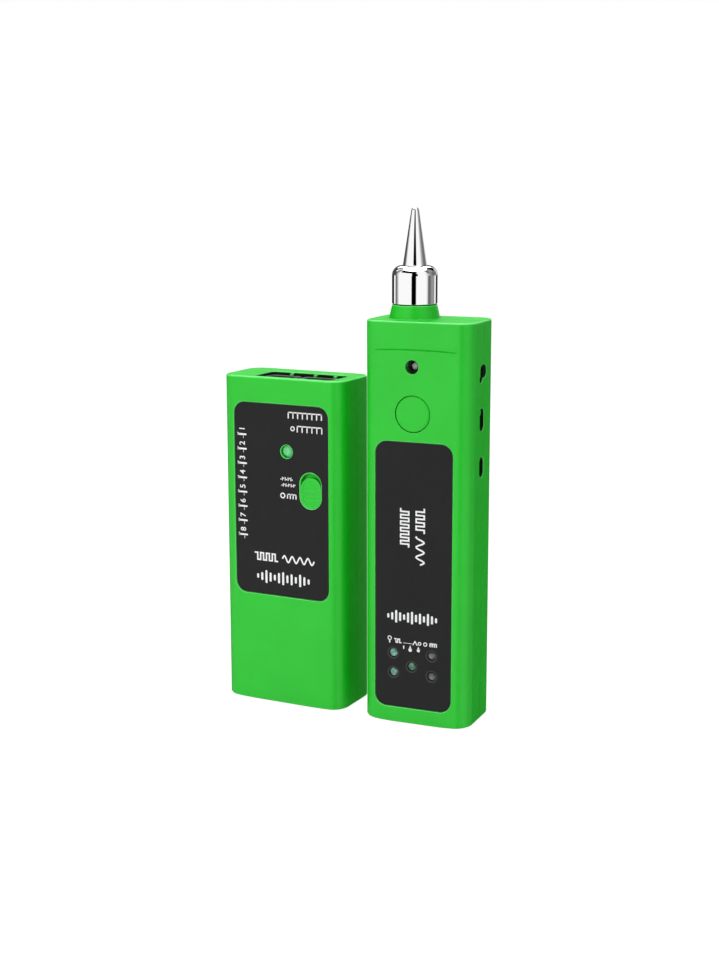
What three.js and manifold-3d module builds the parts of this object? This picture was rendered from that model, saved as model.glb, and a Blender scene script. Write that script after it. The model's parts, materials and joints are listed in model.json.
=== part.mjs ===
// Network cable tester: a transmitter box and a probe receiver that stand side by side.
// Millimetres. Z is up, the fronts face -Y, and the floor is Z = 0.
// Each unit is drawn in its own axes: x across the front, y back from the front face, z up.
import * as THREE from 'three';
import { mergeVertices } from 'three/addons/utils/BufferGeometryUtils.js';
import Module from 'manifold-3d';

const wasm = await Module();
wasm.setup();

// ---------------------------------------------------------------- driving dimensions

const GAP = 0.3;                 // clearance between pieces that meet
const WALL = 2;                  // moulded wall
const END_FILLET = 1;            // rounding of the top and bottom edges
const LABEL_RECESS = 1;          // depth of the pocket that the label panel sits in
const LABEL_THICK = 0.4;
const LABEL_RADIUS = 4;

const TX = {
  width: 46, depth: 22.8, height: 113.2, radius: 5, seam: 11.4,
  crown: { flat: 20, rise: 0.6 },
  label: { x: 0, z: 71.2, w: 36.2, h: 66.4 },
  led: { x: 2.2, z: 88.4, r: 2.3 },
  slot: { x: 11.3, z: 75.7, w: 8.7, h: 12.8 },
  knob: { h: 10.8, travel: 1.6, ridges: [0.5, -0.7, -1.9] },
  mouth: { x0: -11.5, x1: 18.3, y0: 2.3, y1: 15.7, skirt: 109.2 },
  ribs: [-3.6, 5.6, 13.2],
  sockets: { rj11: { x: -4.9, w: 12.2, way: 9.9 }, rj45: { x: 10.1, w: 15.4, way: 12 } },
  jackTop: 112.2, jackBottom: 92.5, jackFront: 2.8, jackBack: 15.2, jackNeck: 13.8,
  board: { w: 39, y: 15.6, z0: 59, z1: 108.5 },
  screws: { x: 17.7, z: [10, 88] },
  door: { w: 29.4, z0: 4.4, z1: 58 },
};

const RX = {
  width: 37.4, depth: 23.2, height: 134, radius: 5, seam: 12.1,
  crown: { flat: 14, rise: 0.9 },
  middle: -1.2,                  // the button sits this far off the front's centre
  label: { x: -0.75, z: 50.2, w: 26.9, h: 89.8 },
  leds: [[-7.7, 23.9], [-7.6, 17.2], [-1.2, 19.8], [5.85, 24.2], [5.85, 17.2]],
  torch: { x: -1.55, z: 119.4, r: 2.2 },
  button: { z: 104.25, r: 6.1 },
  groove: { z: 124.8, half: 13.8, rise: 0.45, w: 0.5, depth: 0.4 },
  jack: { y: 11.7, z: 117.8, r: 3, tail: { y: -1.5, z: -2, w: 1.5, h: 3, tilt: -32 } },
  slider: { y: 10.7, z: 102.15, w: 3.7, h: 7.8, knob: 2.6, travel: 4 },
  port: { y: 10.7, z: 86.6, w: 3.8, h: 7 },
  board: { w: 31, y: 15.2, z0: 8, z1: 127 },
  speaker: { z: 86, r: 9.6 },
  battery: { w: 28.4, h: 49, z: 34 },
  screws: { x: 13.7, z: [64.5, 123.8] },
  tip: { x: -4.55, y: 10.2 },
  place: { x: 49.9, y: 0.5, turn: 3.8 },
};

const NECK = { foot: 8.15, top: 7.4, height: 4.3, fillet: 0.7 };
const FERRULE = { r: 7.35, height: 12.2, shoulder: 3 };
const CONE = { r0: 3.85, r1: 1.25, height: 18.3 };
const PROBE_BORE = 2.9;
const PROBE_STEM = { r: 2.4, below: 6 };
const BOARD_THICK = 1.6;
const BOSS_R = 2.6;
const SCREW = { head: 2.3, shank: 1.05, sink: 0.5 };

// ---------------------------------------------------------------- solids from geometries

function signedVolume(position, index) {
  const a = new THREE.Vector3();
  const b = new THREE.Vector3();
  const c = new THREE.Vector3();
  let six = 0;
  for (let i = 0; i < index.length; i += 3) {
    a.fromBufferAttribute(position, index[i]);
    b.fromBufferAttribute(position, index[i + 1]);
    c.fromBufferAttribute(position, index[i + 2]);
    six += a.dot(b.cross(c));
  }
  return six / 6;
}

function solid(geometry) {
  geometry.deleteAttribute('normal');
  geometry.deleteAttribute('uv');
  const merged = mergeVertices(geometry, 1e-4);
  const index = [];
  for (let i = 0; i < merged.index.count; i += 3) {
    const t = [0, 1, 2].map((k) => merged.index.getX(i + k));
    if (new Set(t).size === 3) index.push(...t);
  }
  if (signedVolume(merged.attributes.position, index) < 0) index.reverse();
  return new wasm.Manifold(new wasm.Mesh({
    numProp: 3,
    vertProperties: new Float32Array(merged.attributes.position.array),
    triVerts: new Uint32Array(index),
  }));
}

function joined(first, ...others) {
  return others.reduce((sum, next) => sum.add(next), first);
}

function cut(first, ...others) {
  return others.reduce((rest, next) => rest.subtract(next), first);
}

// ---------------------------------------------------------------- outlines and primitives

function roundedRect(w, h, r, x = 0, y = 0) {
  const [l, b, right, top] = [x - w / 2, y - h / 2, x + w / 2, y + h / 2];
  const shape = new THREE.Shape();
  shape.absarc(right - r, b + r, r, -Math.PI / 2, 0);
  shape.absarc(right - r, top - r, r, 0, Math.PI / 2);
  shape.absarc(l + r, top - r, r, Math.PI / 2, Math.PI);
  shape.absarc(l + r, b + r, r, Math.PI, Math.PI * 1.5);
  return shape;
}

function stadium(w, h, x, y) {
  return roundedRect(w, h, Math.min(w, h) / 2 - 0.001, x, y);
}

function disc(r, x = 0, y = 0) {
  const shape = new THREE.Shape();
  shape.absarc(x, y, r, 0, Math.PI * 2);
  return shape;
}

// Columns are where the drawing's right, up and depth directions go.
const INTO_FRONT = new THREE.Matrix4().makeBasis(
  new THREE.Vector3(1, 0, 0), new THREE.Vector3(0, 0, 1), new THREE.Vector3(0, -1, 0));
const ACROSS = new THREE.Matrix4().makeBasis(
  new THREE.Vector3(0, 1, 0), new THREE.Vector3(0, 0, 1), new THREE.Vector3(1, 0, 0));

// three.js draws each arc with twice as many pieces as curveSegments says.
function prismGeometry(shape, depth, arcPieces, extra = { bevelEnabled: false }) {
  return new THREE.ExtrudeGeometry(shape, { depth, curveSegments: arcPieces / 2, ...extra });
}

// A plan outline (x, y) raised from z0 to z1.
function upright(shape, z0, z1, segments = 6) {
  const geometry = prismGeometry(shape, z1 - z0, segments);
  return solid(geometry.translate(0, 0, z0));
}

// A front outline (x, z) pushed back from y0 to y1.
function pushed(shape, y0, y1, segments = 6) {
  const geometry = prismGeometry(shape, y1 - y0, segments);
  return solid(geometry.applyMatrix4(INTO_FRONT).translate(0, y1, 0));
}

// A side outline (y, z) run from x0 to x1.
function sideways(shape, x0, x1, segments = 6) {
  const geometry = prismGeometry(shape, x1 - x0, segments);
  return solid(geometry.applyMatrix4(ACROSS).translate(x0, 0, 0));
}

function block(x0, x1, y0, y1, z0, z1) {
  const geometry = new THREE.BoxGeometry(x1 - x0, y1 - y0, z1 - z0);
  return solid(geometry.translate((x0 + x1) / 2, (y0 + y1) / 2, (z0 + z1) / 2));
}

function profile(points) {
  return points.map(([r, h]) => new THREE.Vector2(r, h));
}

// A turned piece about the vertical through (x, y); the points are [radius, z].
function turned(points, x, y, segments = 32) {
  const geometry = new THREE.LatheGeometry(profile(points), segments);
  return solid(geometry.applyMatrix4(new THREE.Matrix4().makeRotationX(Math.PI / 2)).translate(x, y, 0));
}

// A turned piece about the front-to-back line through (x, z); the points are [radius, y].
function turnedIn(points, x, z, segments = 24) {
  const geometry = new THREE.LatheGeometry(profile(points), segments);
  return solid(geometry.translate(x, 0, z));
}

function arcPoints(cx, cy, r, from, to, steps) {
  const points = [];
  for (let i = 0; i <= steps; i += 1) {
    const a = THREE.MathUtils.degToRad(from + ((to - from) * i) / steps);
    points.push([cx + r * Math.cos(a), cy + r * Math.sin(a)]);
  }
  return points;
}

// ---------------------------------------------------------------- materials and nodes

const PAINTS = {
  green: [0x3bcb44, 0.38, 0],
  label: [0x2c2c2e, 0.45, 0],
  black: [0x16171a, 0.5, 0],
  board: [0x1c6b3a, 0.55, 0],
  chrome: [0xe4e6e8, 0.08, 1],
  steel: [0xa9acb0, 0.35, 1],
  gold: [0xd9b35a, 0.3, 1],
  clear: [0xb9c9c2, 0.2, 0],
  lamp: [0x5fd98a, 0.25, 0],
  cell: [0x8f9296, 0.4, 0],
};

const kit = new THREE.Group();
const transmitter = new THREE.Group();
const receiver = new THREE.Group();

function node(name, body, paint, unit) {
  const mesh = body.getMesh();
  const geometry = new THREE.BufferGeometry();
  geometry.setAttribute('position', new THREE.BufferAttribute(new Float32Array(mesh.vertProperties), 3));
  geometry.setIndex(new THREE.BufferAttribute(new Uint32Array(mesh.triVerts), 1));
  geometry.computeVertexNormals();
  const [color, roughness, metalness] = PAINTS[paint];
  const piece = new THREE.Mesh(geometry, new THREE.MeshStandardMaterial({ color, roughness, metalness }));
  piece.name = name;
  unit.add(piece);
}

// ---------------------------------------------------------------- casing shared by both units

// The end of a unit is flat across the middle and curves up slightly towards both sides.
function crownedOutline(u) {
  const half = u.width / 2 + 1;
  const flat = u.crown.flat / 2;
  const steps = 5;
  const points = [];
  for (let i = 0; i <= steps; i += 1) {
    const t = i / steps;
    points.push([flat + (half - flat) * t, u.crown.rise * t * t]);
  }
  const bottom = [...points.map(([x, z]) => [-x, z]).reverse(), ...points];
  const outline = [...bottom, [half, u.height + 1], [-half, u.height + 1]];
  return new THREE.Shape(outline.map(([x, z]) => new THREE.Vector2(x, z)));
}

function casingBlock(u) {
  const rounding = {
    bevelEnabled: true, bevelThickness: END_FILLET, bevelSize: END_FILLET,
    bevelOffset: -END_FILLET, bevelSegments: 3,
  };
  const plan = roundedRect(u.width, u.depth, u.radius, 0, u.depth / 2);
  const geometry = prismGeometry(plan, u.height - 2 * END_FILLET, 6, rounding);
  const outside = solid(geometry.translate(0, 0, END_FILLET));
  return outside.intersect(pushed(crownedOutline(u), -1, u.depth + 1));
}

function cavity(u) {
  const plan = roundedRect(u.width - 2 * WALL, u.depth - 2 * WALL, u.radius - WALL, 0, u.depth / 2);
  return upright(plan, WALL + u.crown.rise, u.height - WALL, 4);
}

function frontHalf(u) {
  return block(-u.width, u.width, -1, u.seam - GAP / 2, -1, u.height + 1);
}

function rearHalf(u) {
  return block(-u.width, u.width, u.seam + GAP / 2, u.depth + 1, -1, u.height + 1);
}

function labelPocket(u) {
  const { x, z, w, h } = u.label;
  return pushed(roundedRect(w, h, LABEL_RADIUS, x, z), -1, LABEL_RECESS);
}

function labelPanel(u, holes) {
  const { x, z, w, h } = u.label;
  const sheet = roundedRect(w - 2 * GAP, h - 2 * GAP, LABEL_RADIUS - GAP, x, z);
  const front = LABEL_RECESS - GAP - LABEL_THICK;
  return cut(pushed(sheet, front, front + LABEL_THICK), ...holes);
}

function screwSites(u) {
  return u.screws.z.flatMap((z) => [[-u.screws.x, z], [u.screws.x, z]]);
}

function frontBosses(u) {
  const tip = u.seam - GAP;
  return screwSites(u).map(([x, z]) => {
    const post = pushed(disc(BOSS_R, x, z), WALL - 0.5, tip, 16);
    return post.subtract(pushed(disc(SCREW.shank + GAP, x, z), tip - 7, tip + 1, 12));
  });
}

function rearBosses(u) {
  return screwSites(u).map(([x, z]) => pushed(disc(BOSS_R, x, z), u.seam + GAP, u.depth - WALL + 0.5, 16));
}

function screwHoles(u) {
  const seat = u.depth - SCREW.sink - 1.6;
  return screwSites(u).flatMap(([x, z]) => [
    pushed(disc(SCREW.shank + GAP, x, z), u.seam - 1, u.depth + 1, 12),
    pushed(disc(SCREW.head + GAP, x, z), seat - GAP, u.depth + 1, 16),
  ]);
}

function screws(u, prefix, unit) {
  const top = u.depth - SCREW.sink;
  const end = u.seam - 6.5;
  screwSites(u).forEach(([x, z], i) => {
    const pin = [[0, end], [SCREW.shank, end + 1.5], [SCREW.shank, top - 1.6], [SCREW.head, top - 1.3]];
    const body = turnedIn([...pin, [SCREW.head, top - 0.3], [SCREW.head - 0.4, top], [0, top]], x, z, 16);
    const slots = [block(x - 1.5, x + 1.5, top - 0.9, top + 1, z - 0.3, z + 0.3),
      block(x - 0.3, x + 0.3, top - 0.9, top + 1, z - 1.5, z + 1.5)];
    node(`${prefix}_case_screw_${i + 1}`, cut(body, ...slots), 'steel', unit);
  });
}

function circuitBoard(u) {
  const { w, y, z0, z1 } = u.board;
  const sheet = pushed(roundedRect(w, z1 - z0, 1, 0, (z0 + z1) / 2), y, y + BOARD_THICK, 3);
  const holes = screwSites(u).map(([x, z]) => pushed(disc(BOSS_R + GAP, x, z), y - 1, y + 3, 16));
  return cut(sheet, ...holes);
}

// A domed lamp that faces forward, with its two leads running back to the board.
function lamp(x, z, r, front, length, board) {
  const dome = arcPoints(0, front + r, r, -90, 0, 4);
  const lens = [...dome, [r, front + length - 1], [r + 0.35, front + length - 1]];
  const body = turnedIn([...lens, [r + 0.35, front + length], [0, front + length]], x, z, 16);
  const lead = (side) => block(x + side - 0.25, x + side + 0.25, front + length - 0.5, board - GAP,
    z - 0.25, z + 0.25);
  return joined(body, lead(-r * 0.5), lead(r * 0.5));
}

// ---------------------------------------------------------------- transmitter

function mouthShape(grow) {
  const { x0, x1, y0, y1 } = TX.mouth;
  const [w, d] = [x1 - x0 + 2 * grow, y1 - y0 + 2 * grow];
  return roundedRect(w, d, 1.6 + grow, (x0 + x1) / 2, (y0 + y1) / 2);
}

function txCasing() {
  const { mouth, led, slot, height } = TX;
  const skirt = upright(mouthShape(1), mouth.skirt, height - WALL + 0.5, 3);
  const hollow = joined(casingBlock(TX).subtract(cavity(TX)), skirt);
  return cut(hollow,
    upright(mouthShape(0), mouth.skirt - 1, height + 1, 3),
    labelPocket(TX),
    pushed(disc(led.r + GAP, led.x, led.z), -1, WALL + 1, 20),
    pushed(stadium(slot.w, slot.h, slot.x, slot.z), -1, WALL + 1, 10));
}

function txFrontShell() {
  return joined(txCasing().intersect(frontHalf(TX)), ...frontBosses(TX));
}

function txRearShell() {
  const { mouth, door, depth, height } = TX;
  const opening = block(-door.w / 2, door.w / 2, depth - WALL - 1, depth + 1, door.z0, door.z1);
  const ledge = block(-door.w / 2 - 2, door.w / 2 + 2, depth - WALL - 0.8, depth - WALL + 0.1,
    door.z1 - 1.5, door.z1 + 2);
  const thumb = pushed(disc(5, 0, door.z1 + 1), depth - 0.8, depth + 1, 16);
  const ribs = TX.ribs.map((x) => block(x - 0.5, x + 0.5, mouth.y1 - 1.6, mouth.y1 + 0.5,
    mouth.skirt, height - 0.4));
  const shell = joined(txCasing().intersect(rearHalf(TX)), ...rearBosses(TX), ...ribs);
  return cut(joined(shell.subtract(opening), ledge), ...screwHoles(TX), thumb);
}

function txDoor() {
  const { door, depth } = TX;
  const [z0, z1] = [door.z0 + GAP, door.z1 - GAP];
  const [outer, inner] = [depth - 0.1, depth - WALL + 0.5];
  const plate = block(-door.w / 2 + GAP, door.w / 2 - GAP, inner, outer, z0, z1);
  const grips = [0, 1, 2, 3].map((i) => block(-5, 5, outer - 0.4, outer + 1,
    z1 - 5 - i * 1.8, z1 - 4.2 - i * 1.8));
  const hooks = [-9, 9].map((x) => joined(
    block(x - 2, x + 2, depth - 2.8, inner + 0.2, z0, z0 + 2),
    block(x - 2, x + 2, depth - 2.8, depth - 2.3, z0 - 1.2, z0 + 2)));
  return joined(cut(plate, ...grips), ...hooks);
}

function socket({ x, w, way }) {
  const { jackTop, jackBottom, jackFront, jackBack, jackNeck, board } = TX;
  const outline = (back) => roundedRect(w, back - jackFront, 1, x, (jackFront + back) / 2);
  const housing = joined(upright(outline(jackBack), jackBottom, board.z1, 3),
    upright(outline(jackNeck), jackBottom, jackTop, 3));
  const half = way / 2;
  const plugWay = block(x - half, x + half, jackFront + 2.4, jackFront + 9.2, jackBottom + 1.2, jackTop + 1);
  const latchWay = block(x - 3.1, x + 3.1, jackFront + 0.9, jackFront + 3, jackBottom + 4, jackTop + 1);
  return cut(housing, plugWay, latchWay);
}

// Spring contacts: a bar across the bottom of the cavity with one slanting finger for each wire.
function contactComb({ x }, count) {
  const pitch = 1.02;
  const half = ((count - 1) * pitch) / 2 + 0.4;
  const back = TX.jackFront + 9.2 - GAP;
  const foot = TX.jackBottom + 1.2 + GAP;
  const bar = block(x - half, x + half, back - 1, back, foot, foot + 1);
  const side = new THREE.Shape([[back - 0.5, foot + 0.5], [back, foot + 0.5], [back - 1.5, foot + 9],
    [back - 2, foot + 9]].map(([y, z]) => new THREE.Vector2(y, z)));
  const fingers = [];
  for (let i = 0; i < count; i += 1) {
    const at = x + (i - (count - 1) / 2) * pitch;
    fingers.push(sideways(side, at - 0.22, at + 0.22));
  }
  return joined(bar, ...fingers);
}

function txKnob() {
  const { slot, knob } = TX;
  const foot = slot.z - slot.h / 2 + 0.2;
  const middle = foot + knob.h / 2;
  const w = slot.w - 2 * GAP;
  const cap = pushed(stadium(w, knob.h, slot.x, middle), 0.6, WALL + GAP + 0.2, 10);
  const dish = pushed(stadium(w - 1.6, knob.h - 1.6, slot.x, middle), 0, 1.1, 10);
  const ridges = knob.ridges.map((z) => block(slot.x - 3, slot.x + 3, 0.7, 1.4,
    middle + z - 0.3, middle + z + 0.3));
  const plate = pushed(roundedRect(w + 4, knob.h + 5, 2, slot.x, middle), WALL + GAP, WALL + GAP + 1, 3);
  const lever = block(slot.x - 0.9, slot.x + 0.9, WALL + GAP + 0.5, 9.5, middle - 2, middle);
  return joined(cut(cap, dish), ...ridges, plate, lever);
}

function txSwitchBody() {
  const { slot, knob, board } = TX;
  const middle = slot.z - slot.h / 2 + 0.2 + knob.h / 2;
  const can = block(slot.x - 2.8, slot.x + 2.8, 8.4, board.y - GAP, middle - 5.2, middle + 5.2);
  const track = block(slot.x - 1.3, slot.x + 1.3, 8, 10.2, middle - 2.4, middle + knob.travel + 0.4);
  return can.subtract(track);
}

function txBattery() {
  const body = upright(roundedRect(26.4, 16.6, 1.5, 0, 10.9), 3.4, 50.4, 3);
  const stud = (x, r) => upright(disc(r, x, 10.9), 50, 53.2, 12);
  return joined(body, stud(-6.35, 2.9), stud(6.35, 3.9));
}

function txBatterySnap() {
  const cap = upright(roundedRect(25, 14, 2, 0, 10.9), 50.8, 55.5, 3);
  const cup = (x, r) => upright(disc(r + GAP, x, 10.9), 50, 53.6, 12);
  return cut(cap, cup(-6.35, 2.9), cup(6.35, 3.9));
}

function buildTransmitter() {
  const unit = transmitter;
  const { led, slot, sockets, board } = TX;
  node('tx_front_shell', txFrontShell(), 'green', unit);
  node('tx_rear_shell', txRearShell(), 'green', unit);
  node('tx_label_panel', labelPanel(TX, [
    pushed(disc(led.r + 0.2, led.x, led.z), -1, WALL, 20),
    pushed(stadium(slot.w + 0.4, slot.h + 0.4, slot.x, slot.z), -1, WALL, 10)]), 'label', unit);
  node('tx_rj11_jack', socket(sockets.rj11), 'black', unit);
  node('tx_rj11_contacts', contactComb(sockets.rj11, 4), 'gold', unit);
  node('tx_rj45_jack', socket(sockets.rj45), 'black', unit);
  node('tx_rj45_contacts', contactComb(sockets.rj45, 8), 'gold', unit);
  node('tx_status_led', lamp(led.x, led.z, led.r, 0.7, 8.4, board.y), 'lamp', unit);
  node('tx_switch_knob', txKnob(), 'green', unit);
  node('tx_switch_body', txSwitchBody(), 'steel', unit);
  node('tx_circuit_board', circuitBoard(TX), 'board', unit);
  node('tx_battery', txBattery(), 'cell', unit);
  node('tx_battery_snap', txBatterySnap(), 'black', unit);
  node('tx_battery_door', txDoor(), 'green', unit);
  screws(TX, 'tx', unit);
}

// ---------------------------------------------------------------- receiver

function grooveStrip() {
  const { z, half, rise, w, depth } = RX.groove;
  const steps = 8;
  const edge = (lift) => {
    const points = [];
    for (let i = 0; i <= steps; i += 1) {
      const t = (2 * i) / steps - 1;
      points.push(new THREE.Vector2(RX.middle + half * t, z + rise * (1 - t * t) + lift));
    }
    return points;
  };
  return pushed(new THREE.Shape([...edge(-w / 2), ...edge(w / 2).reverse()]), -1, depth);
}

// The socket hole has a small keyway that runs off it down and forward.
function jackHole() {
  const { y, z, r, tail } = RX.jack;
  const outline = roundedRect(tail.w, tail.h, tail.w / 2 - 0.05).getPoints(4).map((p) => {
    const q = p.rotateAround(new THREE.Vector2(), THREE.MathUtils.degToRad(tail.tilt));
    return new THREE.Vector2(q.x + y + tail.y, q.y + z + tail.z);
  });
  const [x0, x1] = [RX.width / 2 - WALL - 1, RX.width / 2 + 1];
  return joined(sideways(disc(r, y, z), x0, x1, 20), sideways(new THREE.Shape(outline), x0, x1));
}

function rxCasing() {
  const { middle, leds, torch, button, slider, port, tip, height } = RX;
  const [x0, x1] = [RX.width / 2 - WALL - 1, RX.width / 2 + 1];
  return cut(casingBlock(RX).subtract(cavity(RX)),
    labelPocket(RX),
    grooveStrip(),
    pushed(disc(torch.r, torch.x, torch.z), -1, WALL + 1, 20),
    pushed(disc(button.r, middle, button.z), -1, WALL + 1, 28),
    ...leds.map(([x, z]) => pushed(disc(1.7, x, z), -1, WALL + 1, 12)),
    jackHole(),
    sideways(stadium(slider.w, slider.h, slider.y, slider.z), x0, x1, 8),
    sideways(stadium(port.w, port.h, port.y, port.z), x0, x1, 8),
    upright(disc(6.2, tip.x, tip.y), height - WALL - 1, height + 1, 24));
}

function soundHoles() {
  const rows = [-6, -3.6, -1.2, 1.2, 3.6, 6];
  return rows.map((z) => {
    const w = 2 * Math.sqrt(64 - z * z) - 0.4;
    return pushed(stadium(w, 1.2, 0, RX.speaker.z + z), RX.depth - WALL - 1, RX.depth + 1, 3);
  });
}

function rxRearShell() {
  const shell = joined(rxCasing().intersect(rearHalf(RX)), ...rearBosses(RX));
  return cut(shell, ...screwHoles(RX), ...soundHoles());
}

function neck() {
  const base = RX.height + GAP;
  const top = base + NECK.height;
  const fillet = arcPoints(NECK.foot + NECK.fillet, base + NECK.fillet, NECK.fillet, -90, -180, 4);
  const inner = [[PROBE_BORE, top], [PROBE_BORE, base - 4.5], [5.8, base - 4.5], [5.8, base]];
  return turned([...inner, ...fillet, [NECK.top, top], [PROBE_BORE, top]], RX.tip.x, RX.tip.y);
}

function ferrule() {
  const base = RX.height + GAP + NECK.height + GAP;
  const top = base + FERRULE.height;
  const { r, shoulder } = FERRULE;
  const curve = arcPoints(r - shoulder, top - shoulder, shoulder, 0, 90, 6);
  const bore = [[PROBE_BORE, top], [PROBE_BORE, base]];
  return turned([[PROBE_BORE, base], [r, base], ...curve, ...bore], RX.tip.x, RX.tip.y);
}

function probeTip() {
  const base = RX.height + NECK.height + FERRULE.height + 3 * GAP;
  const apex = base + CONE.height;
  const cap = arcPoints(0, apex - CONE.r1, CONE.r1, 10, 90, 4);
  const { r, below } = PROBE_STEM;
  const stem = [[0, RX.height - below], [r, RX.height - below], [r, base], [CONE.r0, base]];
  return turned([...stem, ...cap.slice(0, -1), [0, apex]], RX.tip.x, RX.tip.y, 28);
}

// A bent strip that carries the tip's signal from the end of its stem to the board.
function tipContact() {
  const { x, y } = RX.tip;
  const z = RX.height - PROBE_STEM.below - GAP;
  const tongue = block(x - 1.5, x + 1.5, y - 2, RX.board.y - GAP, z - 0.4, z);
  const leg = block(x - 1.5, x + 1.5, RX.board.y - GAP - 0.4, RX.board.y - GAP, z - 5, z);
  return joined(tongue, leg);
}

function torchCup() {
  const { x, z, r } = RX.torch;
  const outer = r - 0.25;
  const bowl = [[outer - 0.3, 0.9], [1.7, 2.6], [1.7, 4.4], [outer + 1.2, 4.4]];
  return turnedIn([...bowl, [outer + 1.2, WALL + GAP], [outer, WALL + GAP], [outer, 0.9],
    [outer - 0.3, 0.9]], x, z, 24);
}

function scanButton() {
  const { r } = RX.button;
  const rim = r - 0.25;
  const cap = [[0, 0.05], [rim - 0.4, 0.05], [rim, 0.45], [rim, WALL + GAP], [r + 0.8, WALL + GAP]];
  const back = [[r + 0.8, WALL + GAP + 0.8], [2, WALL + GAP + 0.8], [2, 6], [0, 6]];
  return turnedIn([...cap, ...back], RX.middle, RX.button.z, 40);
}

function buttonSwitch() {
  const { middle, button, board } = RX;
  const can = block(middle - 3, middle + 3, 8.2, board.y - GAP, button.z - 3, button.z + 3);
  return joined(can, pushed(disc(1.75, middle, button.z), 7, 8.5, 12));
}

function earphoneJack() {
  const { y, z } = RX.jack;
  const face = RX.width / 2;
  const can = block(4.6, face - WALL - GAP, y - 3, y + 3, z - 3, z + 3);
  const collar = sideways(disc(2.55, y, z), face - WALL - 1, face - 0.5, 20);
  return cut(joined(can, collar), sideways(disc(1.8, y, z), 6, face, 16));
}

function sideKnob() {
  const { y, z, w, h, knob } = RX.slider;
  const face = RX.width / 2;
  const top = z + h / 2 - 0.3;
  const cap = sideways(roundedRect(w - 0.8, knob, 1, y, top - knob / 2), face - WALL, face - 0.2, 4);
  const lever = block(14.9, face - WALL + 0.5, y - 0.8, y + 0.8, top - knob / 2 - 0.7, top - knob / 2 + 0.7);
  return joined(cap, lever);
}

function sideSwitchBody() {
  const { y, z, h, knob, travel } = RX.slider;
  const high = z + h / 2 - 0.3 - knob / 2 + 0.7;
  const can = block(12.4, RX.width / 2 - WALL - 0.6, y - 2.6, y + 2.6, z - 5.4, z + 5.4);
  return can.subtract(block(14.5, 18, y - 1.1, y + 1.1, high - 1.4 - travel - 0.4, high + 0.4));
}

// A metal-shelled socket with a tongue standing inside it.
function chargingPort() {
  const { y, z, w, h } = RX.port;
  const [back, front] = [9.6, RX.width / 2 - 0.9];
  const shell = sideways(stadium(w - 0.7, h - 0.7, y, z), back, front, 6);
  const hollow = sideways(stadium(w - 1.4, h - 1.4, y, z), back + 0.8, front + 1, 6);
  const tongue = block(back + 0.5, front - 1, y - 0.35, y + 0.35, z - 2.4, z + 2.4);
  return joined(shell.subtract(hollow), tongue);
}

function speaker() {
  const { z, r } = RX.speaker;
  const y = RX.depth - WALL - GAP;
  const basket = [[0, y - 3.6], [6, y - 3.6], [r, y - 1.6], [r, y], [r - 1, y]];
  return turnedIn([...basket, [r - 1, y - 0.6], [3.5, y - 1.8], [0, y - 1.2]], 0, z, 28);
}

function rxBattery() {
  const y = RX.board.y + BOARD_THICK + GAP;
  const { w, h, z } = RX.battery;
  return pushed(roundedRect(w, h, 1.5, 0, z), y, RX.depth - WALL - GAP, 3);
}

function buildReceiver() {
  const unit = receiver;
  const { leds, torch, board } = RX;
  node('rx_front_shell', joined(rxCasing().intersect(frontHalf(RX)), ...frontBosses(RX)), 'green', unit);
  node('rx_rear_shell', rxRearShell(), 'green', unit);
  const windows = leds.map(([x, z]) => pushed(disc(1.55, x, z), -1, WALL, 12));
  node('rx_label_panel', labelPanel(RX, windows), 'label', unit);
  node('rx_neck', neck(), 'green', unit);
  node('rx_ferrule', ferrule(), 'chrome', unit);
  node('rx_probe_tip', probeTip(), 'chrome', unit);
  node('rx_tip_contact', tipContact(), 'gold', unit);
  node('rx_torch_cup', torchCup(), 'chrome', unit);
  node('rx_torch_led', lamp(torch.x, torch.z, 1.3, 2.7, 4, board.y), 'clear', unit);
  node('rx_scan_button', scanButton(), 'green', unit);
  node('rx_button_switch', buttonSwitch(), 'steel', unit);
  leds.forEach(([x, z], i) => {
    node(`rx_led_${i + 1}`, lamp(x, z, 1.35, 0.7, 4, board.y), i < 3 ? 'lamp' : 'clear', unit);
  });
  node('rx_earphone_jack', earphoneJack(), 'black', unit);
  node('rx_side_switch_knob', sideKnob(), 'green', unit);
  node('rx_side_switch_body', sideSwitchBody(), 'black', unit);
  node('rx_charging_port', chargingPort(), 'steel', unit);
  node('rx_circuit_board', circuitBoard(RX), 'board', unit);
  node('rx_speaker', speaker(), 'black', unit);
  node('rx_battery', rxBattery(), 'cell', unit);
  screws(RX, 'rx', unit);
}

// ---------------------------------------------------------------- the kit

buildTransmitter();
buildReceiver();
receiver.position.set(RX.place.x, RX.place.y, 0);
receiver.rotation.z = THREE.MathUtils.degToRad(RX.place.turn);
kit.add(transmitter, receiver);

// The origin is the middle of the kit's footprint, on the floor.
kit.updateMatrixWorld(true);
const extent = new THREE.Box3().setFromObject(kit, true);
const centre = extent.getCenter(new THREE.Vector3());
kit.position.set(-centre.x, -centre.y, -extent.min.z);
kit.updateMatrixWorld(true);

export default kit;
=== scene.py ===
"""Network cable tester: a transmitter box and a probe receiver that stand side by side.

Shapes are drawn in millimetres in each unit's own axes: x across the front, y back from the
front face, z up. A unit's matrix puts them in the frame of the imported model, in metres.
"""

import json
import math

import bmesh
import bpy
from mathutils import Matrix, Vector


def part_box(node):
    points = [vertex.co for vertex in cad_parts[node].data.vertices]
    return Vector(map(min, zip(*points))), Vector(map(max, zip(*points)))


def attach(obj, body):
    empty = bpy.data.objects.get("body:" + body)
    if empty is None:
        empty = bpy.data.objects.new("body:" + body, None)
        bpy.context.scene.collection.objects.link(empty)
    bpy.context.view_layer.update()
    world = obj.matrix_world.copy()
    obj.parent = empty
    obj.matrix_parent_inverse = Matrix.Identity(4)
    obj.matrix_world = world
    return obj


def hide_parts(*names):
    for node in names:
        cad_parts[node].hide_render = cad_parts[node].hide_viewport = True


MM = 0.001

# ------------------------------------------------------------------ named sizes, millimetres

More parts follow.
